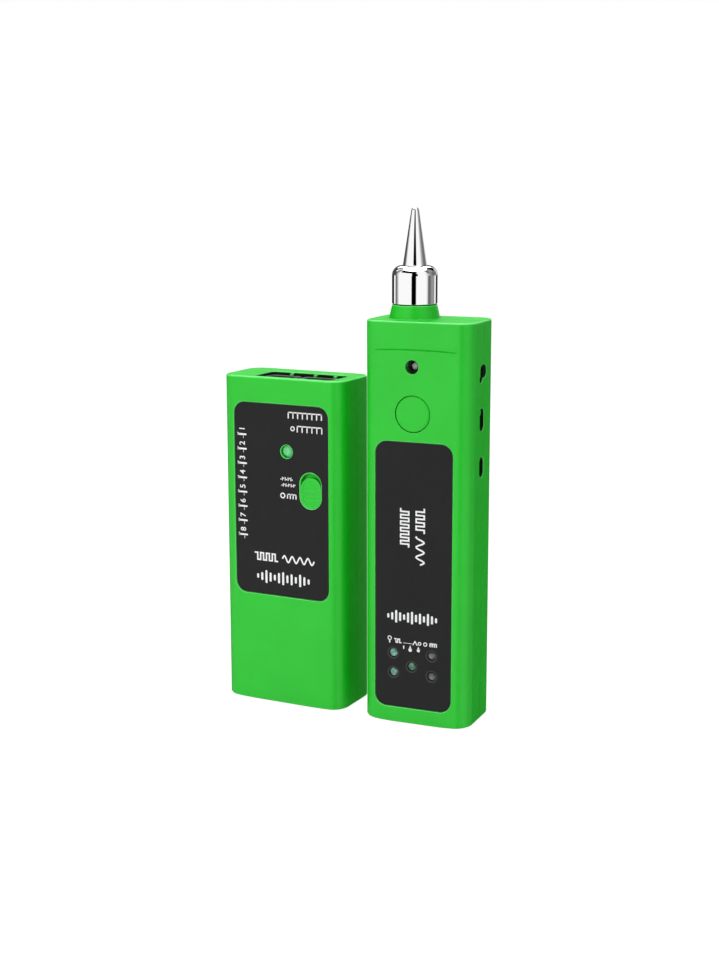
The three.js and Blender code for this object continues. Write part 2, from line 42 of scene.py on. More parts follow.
WALL = 2.0
CORNER = 5.0                    # plan radius of a unit's upright edges
CORNER_STEPS = 14
END_FILLET = 0.5
SKIN = 0.02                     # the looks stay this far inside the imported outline
SEAM_GAP = 0.12
EDGE_TURN = (14, 24)            # degrees between the strips that round an edge off
EDGE_WIDTH = 0.17
EDGE_FROM = 2.0                 # edges lower than this get no painted highlight
POCKET = 1.0                    # depth of the recess that holds the printed panel
POCKET_RADIUS = 4.0
POCKET_LIP = 0.35
POCKET_ROOM = 0.3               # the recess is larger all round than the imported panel
PANEL_PLAY = 0.2                # between the recess and the panel
COLLAR_TOP = 0.25               # the lamp and switch collars rise to this depth
PANEL_FRONT = 0.3
PANEL_THICK = 0.4
PANEL_GAP = 0.06                # between the panel and the collars that stand up through it
INK = 0.03                      # how far the printing stands out of the panel
INK_ROOT = 0.1                  # and how deep it is set in
TONGUE = {"deep": 4.0, "gap": 0.05, "thick": 0.7, "radius": 0.8}   # behind the joint line
SCREW_HOLE = {"r": 2.6, "lip": 0.3, "depth": 2.6, "bore": 1.4}

TX_SEAM = 11.4
TX_CROWN = {"flat": 20.0, "rise": 0.6}
TX_LAMP = {"lens": 2.1, "collar": 2.42, "lip": 0.2}
TX_SLOT = {"w": 8.44, "h": 12.7, "above": 0.8, "lip": 0.3}
TX_KNOB = {"w": 7.8, "h": 10.5, "face": 0.4, "rim": 0.75, "dish": 0.3, "ridges": (0.5, -0.9, -2.3),
           "lever": (1.8, 2.0)}
TX_MOUTH = {"grow": 0.5, "radius": 1.8, "lip": 0.3, "skirt": 4.0, "wall": 1.0, "neck": 1.4}
TX_RIBS = (-3.6, 5.6, 13.2)
TX_RIB = {"size": (1.0, 2.0), "radius": 0.3, "in": 0.55, "sunk": 0.4, "play": 0.1}
TX_SHADE_LINING = {"sunk": 0.32, "wall": 0.3, "edge": 0.06, "lip": 0.05}    # a near-black lining inside the top opening, which paints its shade
DOOR = {"hook": 1.2, "gap": 0.3}             # how far its hooks reach below it, and the gap round it
GRIP = {"count": 4, "w": 10, "narrower": 1.2, "h": 0.9, "below": 4.6, "pitch": 1.8, "depth": 0.6}
ARROW = {"half": 2.2, "below": 13.0, "h": 2.4, "depth": 0.45}
THUMB = {"profile": [(0, 5.4), (1.9, 5.05), (3.5, 4.1), (4.8, 2.4), (5.2, 0)], "back": 4.4, "above": 1.3}
SOCKET_WAYS = {"tx_rj11_jack": 9.9, "tx_rj45_jack": 12.0}   # widths of the plugs' ways
SOCKET = {"way": 6.8, "way_y": 5.8, "floor": 1.2, "latch": (6.2, 2.1), "latch_y": 1.95, "latch_floor": 4.0}

# A lamp behind its dome. The lengths run back from the dome, and the leads stand apart from the axis.
LARGE_LAMP = {"steps": 14, "segments": 64, "barrel": 5.15, "flange": 0.4, "end": 6.45,
              "lead_from": 6.15, "lead": 0.5, "apart": 1.15}
SMALL_LAMP = {"steps": 12, "segments": 40, "barrel": 1.6, "flange": 0.3, "end": 2.4,
              "lead_from": 2.2, "lead": 0.4, "apart": 0.6}

RX_SEAM = 12.1
RX_CROWN = {"flat": 14.0, "rise": 0.9}
RX_WINDOW = {"shell": 1.78, "panel": 1.66, "lens": 1.5}
RX_GROOVE = {"x": 0.7, "z": 124.5, "half": 14.4, "rise": 0.45, "w": 0.42, "depth": 0.35, "margin": 0.12}
RX_BUTTON = {"flange": 0.8, "gap": 0.24, "lip": 0.12}   # the flange is wider than the hole
RX_TORCH = {"hole": 2.3, "lip": 0.25, "sunk": 1.8, "throat": 1.4, "lamp": 1.3}
RX_JACK = {"w": 6.0, "h": 4.4, "lip": 0.22, "tail": (-1.9, -1.9), "tail_w": 2.6, "tail_h": 3.8,
           "tilt": -32.0}
RX_SLIDER = {"w": 4.0, "h": 7.6, "lip": 0.22, "knob": 2.6, "above": 0.3, "packed_h": 7.8}
RX_PORT = {"w": 4.0, "h": 6.7, "lip": 0.22, "wall": 0.35, "blade": (0.7, 4.2)}
RX_SHADE_LINING = {"sunk": 0.23, "wall": 0.3, "edge": 0.08, "lip": 0.1}     # near-black linings inside each side opening, which paint their shade
RX_SOUND = {"rows": (-6.0, -3.6, -1.2, 1.2, 3.6, 6.0), "r": 8.0, "slot": 1.0, "lip": 0.15}
NECK = {"hole": 6.2, "collar": 5.8, "fillet": 0.7, "lip": 0.3}
FERRULE = {"foot": 0.2, "shoulder": 3.0}
PROBE = {"bore": 2.9, "stem": 2.4, "nose": 1.3}

# Screws, as (radius, depth below the top of the head), and the thread's turns from the tip.
SCREW_HEAD = [(1.05, 1.6), (2.15, 1.35), (2.3, 1.15), (2.3, 0.5), (2.1, 0.2), (1.6, 0.05), (0, 0)]
THREAD = {"tip": 2, "turns": 9, "pitch": 0.9, "crest": 1.02, "root": 0.78}

# ------------------------------------------------------------------ the camera and the light

CAMERA = {
    "turn": 27.14, "pitch": 11.04, "roll": -0.10,   # degrees
    "across": -26.33, "away": 539.07, "height": 184.08,   # to the transmitter's front, millimetres
    "lens": 61.2, "sensor": 36.0, "shift": (0.0007, -0.0005),
}
FRONT_LIGHT = 5.2
TOP_LIGHT = 8.5
SKY_ROUND = [(-180, 0.15), (-110, 0.05), (-60, 0.03), (0, 0.2), (50, 0.22), (78, 0.54), (110, 0.6),
             (140, 0.3), (180, 0.15)]
BACKGROUND = 1.0
FLOOR_GLOW = {"share": 0.8, "strength": 1.2}     # how much of the floor's look is even white
CARDS = {                      # studio cards that only gloss sees, in degrees up and round
    "DARK": {"level": (30, 53), "bearing": (-60, 36)},
    "RIM": {"level": (28, 53), "bearing": (-179, -125), "glow": 3.6},
    "SLIM": {"level": (-5, -3.45), "bearing": (143, 157), "glow": 1.0},
    "TOP": {"level": (53, 91), "bearing": (-181, 181), "glow": 2.1},
}
UPPER = (-3.45, 24)            # degrees up between which UPPER_HORIZON stands instead of HORIZON

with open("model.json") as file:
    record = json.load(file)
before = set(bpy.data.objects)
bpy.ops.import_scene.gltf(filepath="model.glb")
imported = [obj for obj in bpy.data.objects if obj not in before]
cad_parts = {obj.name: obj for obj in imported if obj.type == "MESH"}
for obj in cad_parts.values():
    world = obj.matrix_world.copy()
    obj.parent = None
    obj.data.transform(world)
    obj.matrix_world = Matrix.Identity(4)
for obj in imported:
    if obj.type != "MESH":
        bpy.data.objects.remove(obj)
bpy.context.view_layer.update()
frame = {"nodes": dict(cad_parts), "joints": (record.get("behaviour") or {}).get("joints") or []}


# ------------------------------------------------------------------ units

class Unit:
    """One hand-held unit: its matrix, its body's name and its size."""

    def __init__(self, body, shells, turn):
        self.body = body
        lows, highs = zip(*(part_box(name) for name in shells))
        low = Vector(map(min, *lows))
        high = Vector(map(max, *highs))
        centre = (low + high) / 2
        self.matrix = Matrix.Translation((centre.x, centre.y, 0)) @ Matrix.Rotation(turn, 4, "Z")
        front = self.box(*shells)[0].y
        self.matrix = self.matrix @ Matrix.Translation((0, front * MM, 0))
        low, high = self.box(*shells)
        self.w = high.x - low.x
        self.d = high.y
        self.h = high.z

    def box(self, *nodes):
        """Lowest and highest corner of CAD nodes in this unit's own axes."""
        inverse = self.matrix.inverted()
        points = [inverse @ v.co for name in nodes for v in frame["nodes"][name].data.vertices]
        low = [min(p[i] for p in points) / MM for i in range(3)]
        high = [max(p[i] for p in points) / MM for i in range(3)]
        return Vector(low), Vector(high)

    def middle(self, *nodes):
        low, high = self.box(*nodes)
        return (low + high) / 2


press = next(j["axis"] for j in frame["joints"] if j["name"] == "rx_button_press")
TX = Unit("transmitter", ("tx_front_shell", "tx_rear_shell"), 0.0)
RX = Unit("receiver", ("rx_front_shell", "rx_rear_shell"), math.atan2(-press[0], press[1]))


# ------------------------------------------------------------------ outlines

def rounded_rect(w, h, r, x=0.0, y=0.0, steps=8):
    """Counter-clockwise outline of a rounded rectangle centred at (x, y)."""
    r = min(r, w / 2 - 1e-4, h / 2 - 1e-4)
    corners = ((w / 2 - r, r - h / 2, -90), (w / 2 - r, h / 2 - r, 0),
               (r - w / 2, h / 2 - r, 90), (r - w / 2, r - h / 2, 180))
    points = []
    for cx, cy, start in corners:
        for i in range(steps + 1):
            a = math.radians(start + 90 * i / steps)
            points.append((x + cx + r * math.cos(a), y + cy + r * math.sin(a)))
    return points


def stadium(w, h, x, y, steps=12):
    return rounded_rect(w, h, min(w, h) / 2, x, y, steps)


def sized(shape, w, h, *rest):
    """An outline as a function of how far it grows; a negative growth shrinks it."""
    return lambda grow: shape(w + 2 * grow, h + 2 * grow, *rest)


def shrunk(outline, by):
    return lambda grow: outline(grow - by)


def circle(r, x, y, steps=48):
    turn = 2 * math.pi / steps
    return [(x + r * math.cos(i * turn), y + r * math.sin(i * turn)) for i in range(steps)]


def disc(r, at, steps=48):
    """A circle about a node's middle, seen from the front, as a function of how far it grows."""
    return lambda grow: circle(r + grow, at.x, at.z, steps)


def turned_about(points, x, y, degrees):
    c, s = math.cos(math.radians(degrees)), math.sin(math.radians(degrees))
    return [(x + (a - x) * c - (b - y) * s, y + (a - x) * s + (b - y) * c) for a, b in points]


def on_front(a, b, depth):
    return (a, depth, b)


def on_rear(unit):
    return lambda a, b, depth: (a, unit.d - depth, b)


def on_side(unit):
    return lambda a, b, depth: (unit.w / 2 - depth, a, b)


def on_top(unit):
    return lambda a, b, depth: (a, b, unit.h - depth)


# ------------------------------------------------------------------ meshes

def loft(rings, capped=True):
    """A closed body through rings of points, with a flat face at each end."""
    bm = bmesh.new()
    rows = [[bm.verts.new(p) for p in ring] for ring in rings]
    for below, above in zip(rows, rows[1:]):
        for i, v in enumerate(below):
            j = (i + 1) % len(below)
            bm.faces.new((v, below[j], above[j], above[i]))
    if capped:
        bm.faces.new(rows[0])
        bm.faces.new(rows[-1])
    bmesh.ops.recalc_face_normals(bm, faces=bm.faces)
    return bm


def prism(outline, place, start, end):
    return loft([[place(a, b, depth) for a, b in outline] for depth in (start, end)])


def hole(outline, place, lip, depth, surface=0.0, start=-1.0, steps=5):
    """A cutter whose mouth flares out by lip, so the edge that it leaves is rounded."""
    levels = [(start, lip)]
    for i in range(steps + 1):
        t = math.radians(90 * i / steps)
        levels.append((surface + lip * (1 - math.cos(t)), lip * (1 - math.sin(t))))
    levels.append((depth, 0.0))
    return loft([[place(a, b, level) for a, b in outline(grow)] for level, grow in levels])


def rounded_plate(outline, place, front, back, edge, steps=4):
    """A plate with rounded front and back edges, which are the outline shrunk by edge."""
    levels = []
    for i in range(steps + 1):
        t = math.radians(90 * i / steps)
        levels.append((front + edge * (1 - math.sin(t)), -edge * (1 - math.cos(t))))
    levels = levels[::-1]
    levels += [(front + back - level, grow) for level, grow in reversed(levels)]
    return loft([[place(a, b, level) for a, b in outline(grow)] for level, grow in levels])


def revolve(profile, place, segments=64):
    """A body of revolution. The profile is (radius, height) from one end of the axis to the other."""
    bm = bmesh.new()
    rows = []
    for r, h in profile:
        if r < 1e-6:
            rows.append([bm.verts.new(place(0, 0, h))])
            continue
        turn = 2 * math.pi / segments
        rows.append([bm.verts.new(place(r * math.cos(i * turn), r * math.sin(i * turn), h))
                     for i in range(segments)])
    for below, above in zip(rows, rows[1:]):
        for i in range(segments):
            j = (i + 1) % segments
            face = [below[i % len(below)], below[j % len(below)],
                    above[j % len(above)], above[i % len(above)]]
            face = [v for k, v in enumerate(face) if v not in face[:k]]
            if len(face) > 2:
                bm.faces.new(face)
    bmesh.ops.recalc_face_normals(bm, faces=bm.faces)
    return bm


def upright_at(x, y):
    return lambda a, b, h: (x + a, y + b, h)


def inward_at(x, z):
    """Heights run back from the front."""
    return lambda a, b, h: (x + a, h, z + b)


def sideways_at(unit, y, z):
    """Heights run in from the right-hand side."""
    return lambda a, b, h: (unit.w / 2 - h, y + a, z + b)


def arc(cx, cy, r, start, end, steps=8):
    angles = [math.radians(start + (end - start) * i / steps) for i in range(steps + 1)]
    return [(cx + r * math.cos(a), cy + r * math.sin(a)) for a in angles]


def block(x0, x1, y0, y1, z0, z1):
    return prism([(x0, z0), (x1, z0), (x1, z1), (x0, z1)], on_front, y0, y1)


def casing(w, d, r, z0, z1, y0=0.0, fillet=0.0, flat=0.0, rise=0.0):
    """A rounded box whose lower end curves up towards its sides."""
    def half_front(inset):
        corner = max(r - inset, 0.4)
        left = arc(-w / 2 + inset + corner, y0 + inset + corner, corner, 180, 270, CORNER_STEPS)
        right = arc(w / 2 - inset - corner, y0 + inset + corner, corner, 270, 360, CORNER_STEPS)
        a, b = left[-1][0], right[0][0]
        between = [(a + (b - a) * i / 16, y0 + inset) for i in range(1, 16)]
        return left + between + right

    def ring(inset, z, crowned):
        front = half_front(inset)
        points = front + [(x, 2 * y0 + d - y) for x, y in reversed(front)]
        reach = w / 2 + 1 - flat / 2
        lift = [max(0.0, (abs(x) - flat / 2) / reach) ** 2 * rise if crowned else 0.0
                for x, _ in points]
        return [(x, y, z + up) for (x, y), up in zip(points, lift)]

    steps = 5 if fillet else 0
    turns = [math.radians(90 * i / steps) for i in range(steps + 1)] if fillet else [0.0]
    inset = [fillet * (1 - math.sin(t)) for t in turns]
    rise_up = [fillet * (1 - math.cos(t)) for t in turns]
    rings = [ring(i, z0 + u, True) for i, u in zip(inset, rise_up)]
    rings += [ring(i, z1 - u, False) for i, u in reversed(list(zip(inset, rise_up)))]
    bm = loft(rings, capped=False)
    bm.verts.ensure_lookup_table()
    count = len(rings[0])
    for start in (0, count * (len(rings) - 1)):
        row = bm.verts[start:start + count]
        for i in range(count // 2 - 1):
            j = count - 1 - i
            bm.faces.new((row[i], row[i + 1], row[j - 1], row[j]))
    bmesh.ops.recalc_face_normals(bm, faces=bm.faces)
    return bm


def merge(bodies):
    """One bmesh that holds several closed bodies side by side."""
    total = bmesh.new()
    for bm in bodies:
        part = bpy.data.meshes.new("part")
        bm.to_mesh(part)
        bm.free()
        total.from_mesh(part)
        bpy.data.meshes.remove(part)
    return total


def as_object(bm, name="work"):
    mesh = bpy.data.meshes.new(name)
    bm.to_mesh(mesh)
    bm.free()
    obj = bpy.data.objects.new(name, mesh)
    bpy.context.scene.collection.objects.link(obj)
    return obj


def combined(base, tools, operation="DIFFERENCE"):
    """base with each tool subtracted, added or kept in common, as a new bmesh."""
    obj = as_object(base)
    for tool in tools:
        other = as_object(tool, "tool")
        step = obj.modifiers.new("step", "BOOLEAN")
        step.operation = operation
        step.solver = "EXACT"
        step.object = other
        evaluated = obj.evaluated_get(bpy.context.evaluated_depsgraph_get())
        mesh = bpy.data.meshes.new_from_object(evaluated)
        obj.modifiers.clear()
        obj.data = mesh
        bpy.data.objects.remove(other)
    bm = bmesh.new()
    bm.from_mesh(obj.data)
    bpy.data.objects.remove(obj)
    return bm


def cut(base, *tools):
    return combined(base, tools)


def joined(base, *tools):
    return combined(base, tools, "UNION")


def kept(base, tool):
    return combined(base, [tool], "INTERSECT")


def mark_edges(bm):
    """Marks the narrow strips that round an edge off, which turn a little along their length, so that they
    can be painted with a highlight.

    The lowest edges stay unmarked and get no painted highlight.
    """
    layer = bm.faces.layers.float.new("rounded_edge")
    bm.normal_update()
    low, high = (math.radians(a) for a in EDGE_TURN)
    for face in bm.faces:
        length = max(e.calc_length() for e in face.edges)
        turns = [e for e in face.edges if len(e.link_faces) == 2 and low < e.calc_face_angle(0) < high
                 and e.calc_length() > 0.7 * length]
        narrow = face.calc_area() < EDGE_WIDTH * MM * length
        face[layer] = float(bool(turns) and narrow and face.calc_center_median().z > EDGE_FROM * MM)


def piece(name, bm, unit, material, replaces=(), body=None, sharp=38):
    """Turns a bmesh in a unit's axes into a finished piece on its body."""
    bmesh.ops.scale(bm, vec=(MM, MM, MM), verts=bm.verts)
    bmesh.ops.remove_doubles(bm, verts=bm.verts, dist=2e-7)
    mark_edges(bm)
    mesh = bpy.data.meshes.new(name)
    bmesh.ops.transform(bm, matrix=unit.matrix, verts=bm.verts)
    bm.to_mesh(mesh)
    bm.free()
    mesh.polygons.foreach_set("use_smooth", [True] * len(mesh.polygons))
    mesh.set_sharp_from_angle(angle=math.radians(sharp))
    mesh.materials.append(material)
    obj = bpy.data.objects.new(name, mesh)
    bpy.context.scene.collection.objects.link(obj)
    normals = obj.modifiers.new("weighted", "WEIGHTED_NORMAL")
    normals.keep_sharp = True
    normals.weight = 80
    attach(obj, body or unit.body)
    if replaces:
        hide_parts(*replaces)
    return obj


# ------------------------------------------------------------------ materials

def add_node(tree, kind, **values):
    """A new shader node with constants on its sockets; in their names _ stands for a space."""
    node = tree.nodes.new("ShaderNode" + kind)
    for socket, value in values.items():
        node.inputs[socket.replace("_", " ")].default_value = value
    return node


def plain_material(name, color, roughness, metallic=0.0, coat=0.0, coat_roughness=0.1):
    """A node material with its own Principled shader, whose constants sit on its sockets."""
    material = bpy.data.materials.new(name)
    material.use_nodes = True
    shader = material.node_tree.nodes["Principled BSDF"]
    constants = {"Base Color": (*color, 1), "Roughness": roughness, "Metallic": metallic, "IOR": 1.5,
                 "Coat Weight": coat, "Coat Roughness": coat_roughness}
    for socket, value in constants.items():
        shader.inputs[socket].default_value = value
    return material, shader


def noise(material, scale, detail=4.0, stretch=(1, 1, 1)):
    """Noise in the piece's own metres; scale is features per millimetre."""
    tree, links = material.node_tree, material.node_tree.links
    place = add_node(tree, "TexCoord")
    mapping = add_node(tree, "Mapping", Scale=[s * scale / MM for s in stretch])
    texture = add_node(tree, "TexNoise", Scale=1.0, Detail=detail)
    links.new(place.outputs["Object"], mapping.inputs["Vector"])
    links.new(mapping.outputs["Vector"], texture.inputs["Vector"])
    return texture.outputs["Fac"]


def varied(material, source, socket, low, high, start=0.3, end=0.7):
    """Drives a shader socket between two values, numbers or colours, with a noise."""
    tree, links = material.node_tree, material.node_tree.links
    if isinstance(low, tuple):
        ramp = add_node(tree, "ValToRGB")
        for stop, position, color in zip(ramp.color_ramp.elements, (start, end), (low, high)):
            stop.position = position
            stop.color = (*color, 1)
        links.new(source, ramp.inputs["Fac"])
        links.new(ramp.outputs["Color"], socket)
        return
    span = add_node(tree, "MapRange", From_Min=start, From_Max=end, To_Min=low, To_Max=high)
    links.new(source, span.inputs["Value"])
    links.new(span.outputs["Result"], socket)


def bumped(material, shader, source, height):
    """Height is in millimetres."""
    links = material.node_tree.links
    bump = add_node(material.node_tree, "Bump", Strength=1.0, Distance=height * MM)
    links.new(source, bump.inputs["Height"])
    links.new(bump.outputs["Normal"], shader.inputs["Normal"])


def moulded(name, dark, light, roughness, grain=5.0, height=0.006, specular=0.5, edge_highlight=None):
    """Moulded plastic: fine spark-eroded grain, slightly uneven gloss and a faint drift of colour.

    Edges marked as rounded get a painted highlight: their colour is mixed towards the last, paler colour
    given.
    """
    material, shader = plain_material(name, light, roughness)
    shader.inputs["Specular IOR Level"].default_value = specular
    varied(material, noise(material, 0.06, 2), shader.inputs["Base Color"], dark, light)
    # painted highlight on the rounded edge strips
    if edge_highlight:
        tree, links = material.node_tree, material.node_tree.links
        edge = add_node(tree, "Attribute")
        edge.attribute_name = "rounded_edge"
        mix = add_node(tree, "Mix")
        mix.data_type = "RGBA"
        base = shader.inputs["Base Color"].links[0].from_socket
        links.new(edge.outputs["Fac"], mix.inputs["Factor"])
        links.new(base, mix.inputs["A"])
        mix.inputs["B"].default_value = (*edge_highlight, 1)
        links.new(mix.outputs["Result"], shader.inputs["Base Color"])
    varied(material, noise(material, 0.35, 5), shader.inputs["Roughness"], roughness - 0.05,
           roughness + 0.07)
    bumped(material, shader, noise(material, grain, 3), height)
    return material


def polished(name, color, roughness, stretch=(1, 1, 0.04)):
    """Bright metal with faint turning marks."""
    material, shader = plain_material(name, color, roughness, metallic=1.0)
    varied(material, noise(material, 2.0, 3, stretch), shader.inputs["Roughness"], roughness * 0.6,
           roughness * 1.6)
    bumped(material, shader, noise(material, 0.5, 2, stretch), 0.0006)
    return material


def lens(name, dark, light):
    """A cast lamp body: cloudy inside and glossy outside."""
    material, shader = plain_material(name, light, 0.22, coat=0.8, coat_roughness=0.04)
    varied(material, noise(material, 0.8, 3), shader.inputs["Base Color"], dark, light, 0.35, 0.62)
    varied(material, noise(material, 1.5, 2), shader.inputs["Roughness"], 0.16, 0.3)
    bumped(material, shader, noise(material, 1.2, 2), 0.01)
    return material


def laminate(name):
    """Circuit board: solder mask over a grid of tracks."""
    material, shader = plain_material(name, (0.012, 0.11, 0.04), 0.4, coat=0.3)
    tree, links = material.node_tree, material.node_tree.links
    place = add_node(tree, "TexCoord")
    tracks = add_node(tree, "TexBrick", Scale=1 / MM, Brick_Width=7.0, Row_Height=2.2, Mortar_Size=0.16,
                      Color1=(0.011, 0.10, 0.036, 1), Color2=(0.014, 0.12, 0.044, 1),
                      Mortar=(0.035, 0.22, 0.08, 1))
    turn = add_node(tree, "Mapping", Rotation=(math.pi / 2, 0, 0))
    links.new(place.outputs["Object"], turn.inputs["Vector"])
    links.new(turn.outputs["Vector"], tracks.inputs["Vector"])
    links.new(tracks.outputs["Color"], shader.inputs["Base Color"])
    bumped(material, shader, tracks.outputs["Fac"], 0.03)
    return material


# The last, paler green of each of these plastics paints a highlight onto its rounded edges and lips; the
# knob's is weaker.
GREEN = moulded("green_plastic", (0.0105, 0.565, 0.018), (0.0115, 0.605, 0.0205), 0.36,
                edge_highlight=(0.13, 0.82, 0.165))
KNOB_GREEN = moulded("knob_plastic", (0.0115, 0.575, 0.021), (0.0125, 0.615, 0.0235), 0.36,
                     edge_highlight=(0.04, 0.68, 0.06))
BLACK = moulded("black_plastic", (0.010, 0.010, 0.011), (0.016, 0.016, 0.017), 0.48, 3.0, 0.01)
# The film's paler grey paints a highlight on its rounded lips, as thin light rings round the windows and the
# panel's edge.
FILM = moulded("label_film", (0.0110, 0.0110, 0.0113), (0.0125, 0.0125, 0.0128), 0.45, 7.0, 0.003, 0.2,
              edge_highlight=(0.055, 0.058, 0.056))
INK_WHITE = moulded("ink_white", (0.9, 0.9, 0.9), (0.97, 0.97, 0.97), 0.5, 8.0, 0.002)
CHROME = polished("chrome", (0.95, 0.95, 0.96), 0.02)
# Chrome darkened to paint the shade deep in the torch's hole: painted shade.
DARKENED_CHROME = polished("chrome_painted_dark", (0.05, 0.055, 0.053), 0.12)
# Near-black green that paints the shade inside openings and behind the joint line: painted shade.
PAINTED_SHADE = moulded("painted_shade_liner", (0.002, 0.010, 0.003), (0.003, 0.018, 0.004), 0.5, 3.0, 0.01, 0.15)
STEEL = polished("steel", (0.56, 0.56, 0.58), 0.3, (1, 0.1, 1))
GOLD = polished("gold_plate", (0.83, 0.62, 0.26), 0.2)
LENS_GREEN = lens("lens_green", (0.05, 0.20, 0.14), (0.26, 0.52, 0.41))
LENS_DEEP = lens("lens_deep_green", (0.006, 0.05, 0.025), (0.12, 0.30, 0.20))
LENS_STATUS = lens("lens_status", (0.10, 0.62, 0.20), (0.20, 0.72, 0.34))
LENS_GREY = lens("lens_grey", (0.03, 0.033, 0.032), (0.14, 0.15, 0.143))
LENS_CLEAR = lens("lens_clear", (0.30, 0.33, 0.31), (0.62, 0.66, 0.64))
BOARD = laminate("board_laminate")
SLEEVE = moulded("battery_sleeve", (0.07, 0.075, 0.085), (0.11, 0.115, 0.125), 0.38, 1.0, 0.01)

# ------------------------------------------------------------------ casings

def shell_body(unit, crown):
    low, high = 0.0, unit.h
    outer = casing(unit.w - 2 * SKIN, unit.d - 2 * SKIN, CORNER - SKIN, low + SKIN, high - SKIN, SKIN,
                   END_FILLET, crown["flat"], crown["rise"])
    inner = casing(unit.w - 2 * WALL, unit.d - 2 * WALL, CORNER - WALL,
                   WALL + crown["rise"], high - WALL, WALL)
    return cut(outer, inner)


def halves(body, unit, seam):
    """The front and rear shells, parted by a hairline with a tongue behind it."""
    reach = unit.w
    copy = body.copy()
    front = kept(body, block(-reach, reach, -5, seam - SEAM_GAP / 2, -5, unit.h + 5))
    rear = kept(copy, block(-reach, reach, seam + SEAM_GAP / 2, unit.d + 5, -5, unit.h + 5))
    return front, rear


def tongue(unit, seam, crown, way):
    """A band inside the joint line, so that no light comes through it; way is cleared in its top."""
    def band(deep, gap):
        return casing(unit.w - 2 * (WALL + gap), deep, TONGUE["radius"], WALL + crown["rise"] + gap,
                      unit.h - WALL - gap, seam - deep / 2)

    outer = band(TONGUE["deep"], TONGUE["gap"])
    inner = band(TONGUE["deep"] + 2, TONGUE["gap"] + TONGUE["thick"])
    return cut(outer, inner, prism(way, on_top(unit), 0, unit.h / 4))


def label_outline(unit, node):
    low, high = unit.box(node)
    w, h = high.x - low.x + 2 * POCKET_ROOM, high.z - low.z + 2 * POCKET_ROOM
    x, z = (low.x + high.x) / 2, (low.z + high.z) / 2
    return lambda grow: rounded_rect(w + 2 * grow, h + 2 * grow, POCKET_RADIUS + grow, x, z, 10)


def pocket(unit, node, collars):
    """The recess for the printed panel, less the collars that stand up inside it."""
    recess = hole(label_outline(unit, node), on_front, POCKET_LIP, POCKET)
    return cut(recess, *[prism(c, on_front, COLLAR_TOP, WALL) for c in collars]) if collars else recess


def screw_sites(unit, prefix):
    return [unit.middle(f"{prefix}_case_screw_{i}") for i in (1, 2, 3, 4)]


def screw_hole(unit, site):
    return hole(disc(SCREW_HOLE["r"], site, 32), on_rear(unit), SCREW_HOLE["lip"], SCREW_HOLE["depth"])


def liner(outline, place, size, end, floor):
    """A lining that stands in an opening as far as end, and is hollow as far as floor; drawn near-black, it
    paints the opening's shade.
    """
    body = rounded_plate(shrunk(outline, SKIN), place, size["sunk"], end, size["edge"])
    return cut(body, hole(shrunk(outline, size["wall"]), place, size["lip"], floor, size["sunk"], 0.0))


def boss(unit, site, seam):
    outer, bore, foot, top = SCREW_HOLE["r"], SCREW_HOLE["bore"], seam + 0.4, unit.d - WALL + 0.1
    tube = [(outer, foot), (outer, top), (bore, top), (bore, foot)]
    return revolve(tube + tube[:1], inward_at(site.x, site.z), 24)


def mouth_box():
    low, high = TX.box(*SOCKET_WAYS)
    grow = TX_MOUTH["grow"]
    w, d = high.x - low.x + 2 * grow, high.y - low.y + 2 * grow
    return (low.x + high.x) / 2, (low.y + high.y) / 2, w, d


def mouth_outline(grow):
    x, y, w, d = mouth_box()
    return rounded_rect(w + 2 * grow, d + 2 * grow, TX_MOUTH["radius"] + grow, x, y, 6)


def slot_outline(grow=0.0):
    x, z = TX.middle("tx_switch_knob").xz
    return stadium(TX_SLOT["w"] + 2 * grow, TX_SLOT["h"] + 2 * grow, x, z + TX_SLOT["above"], 14)


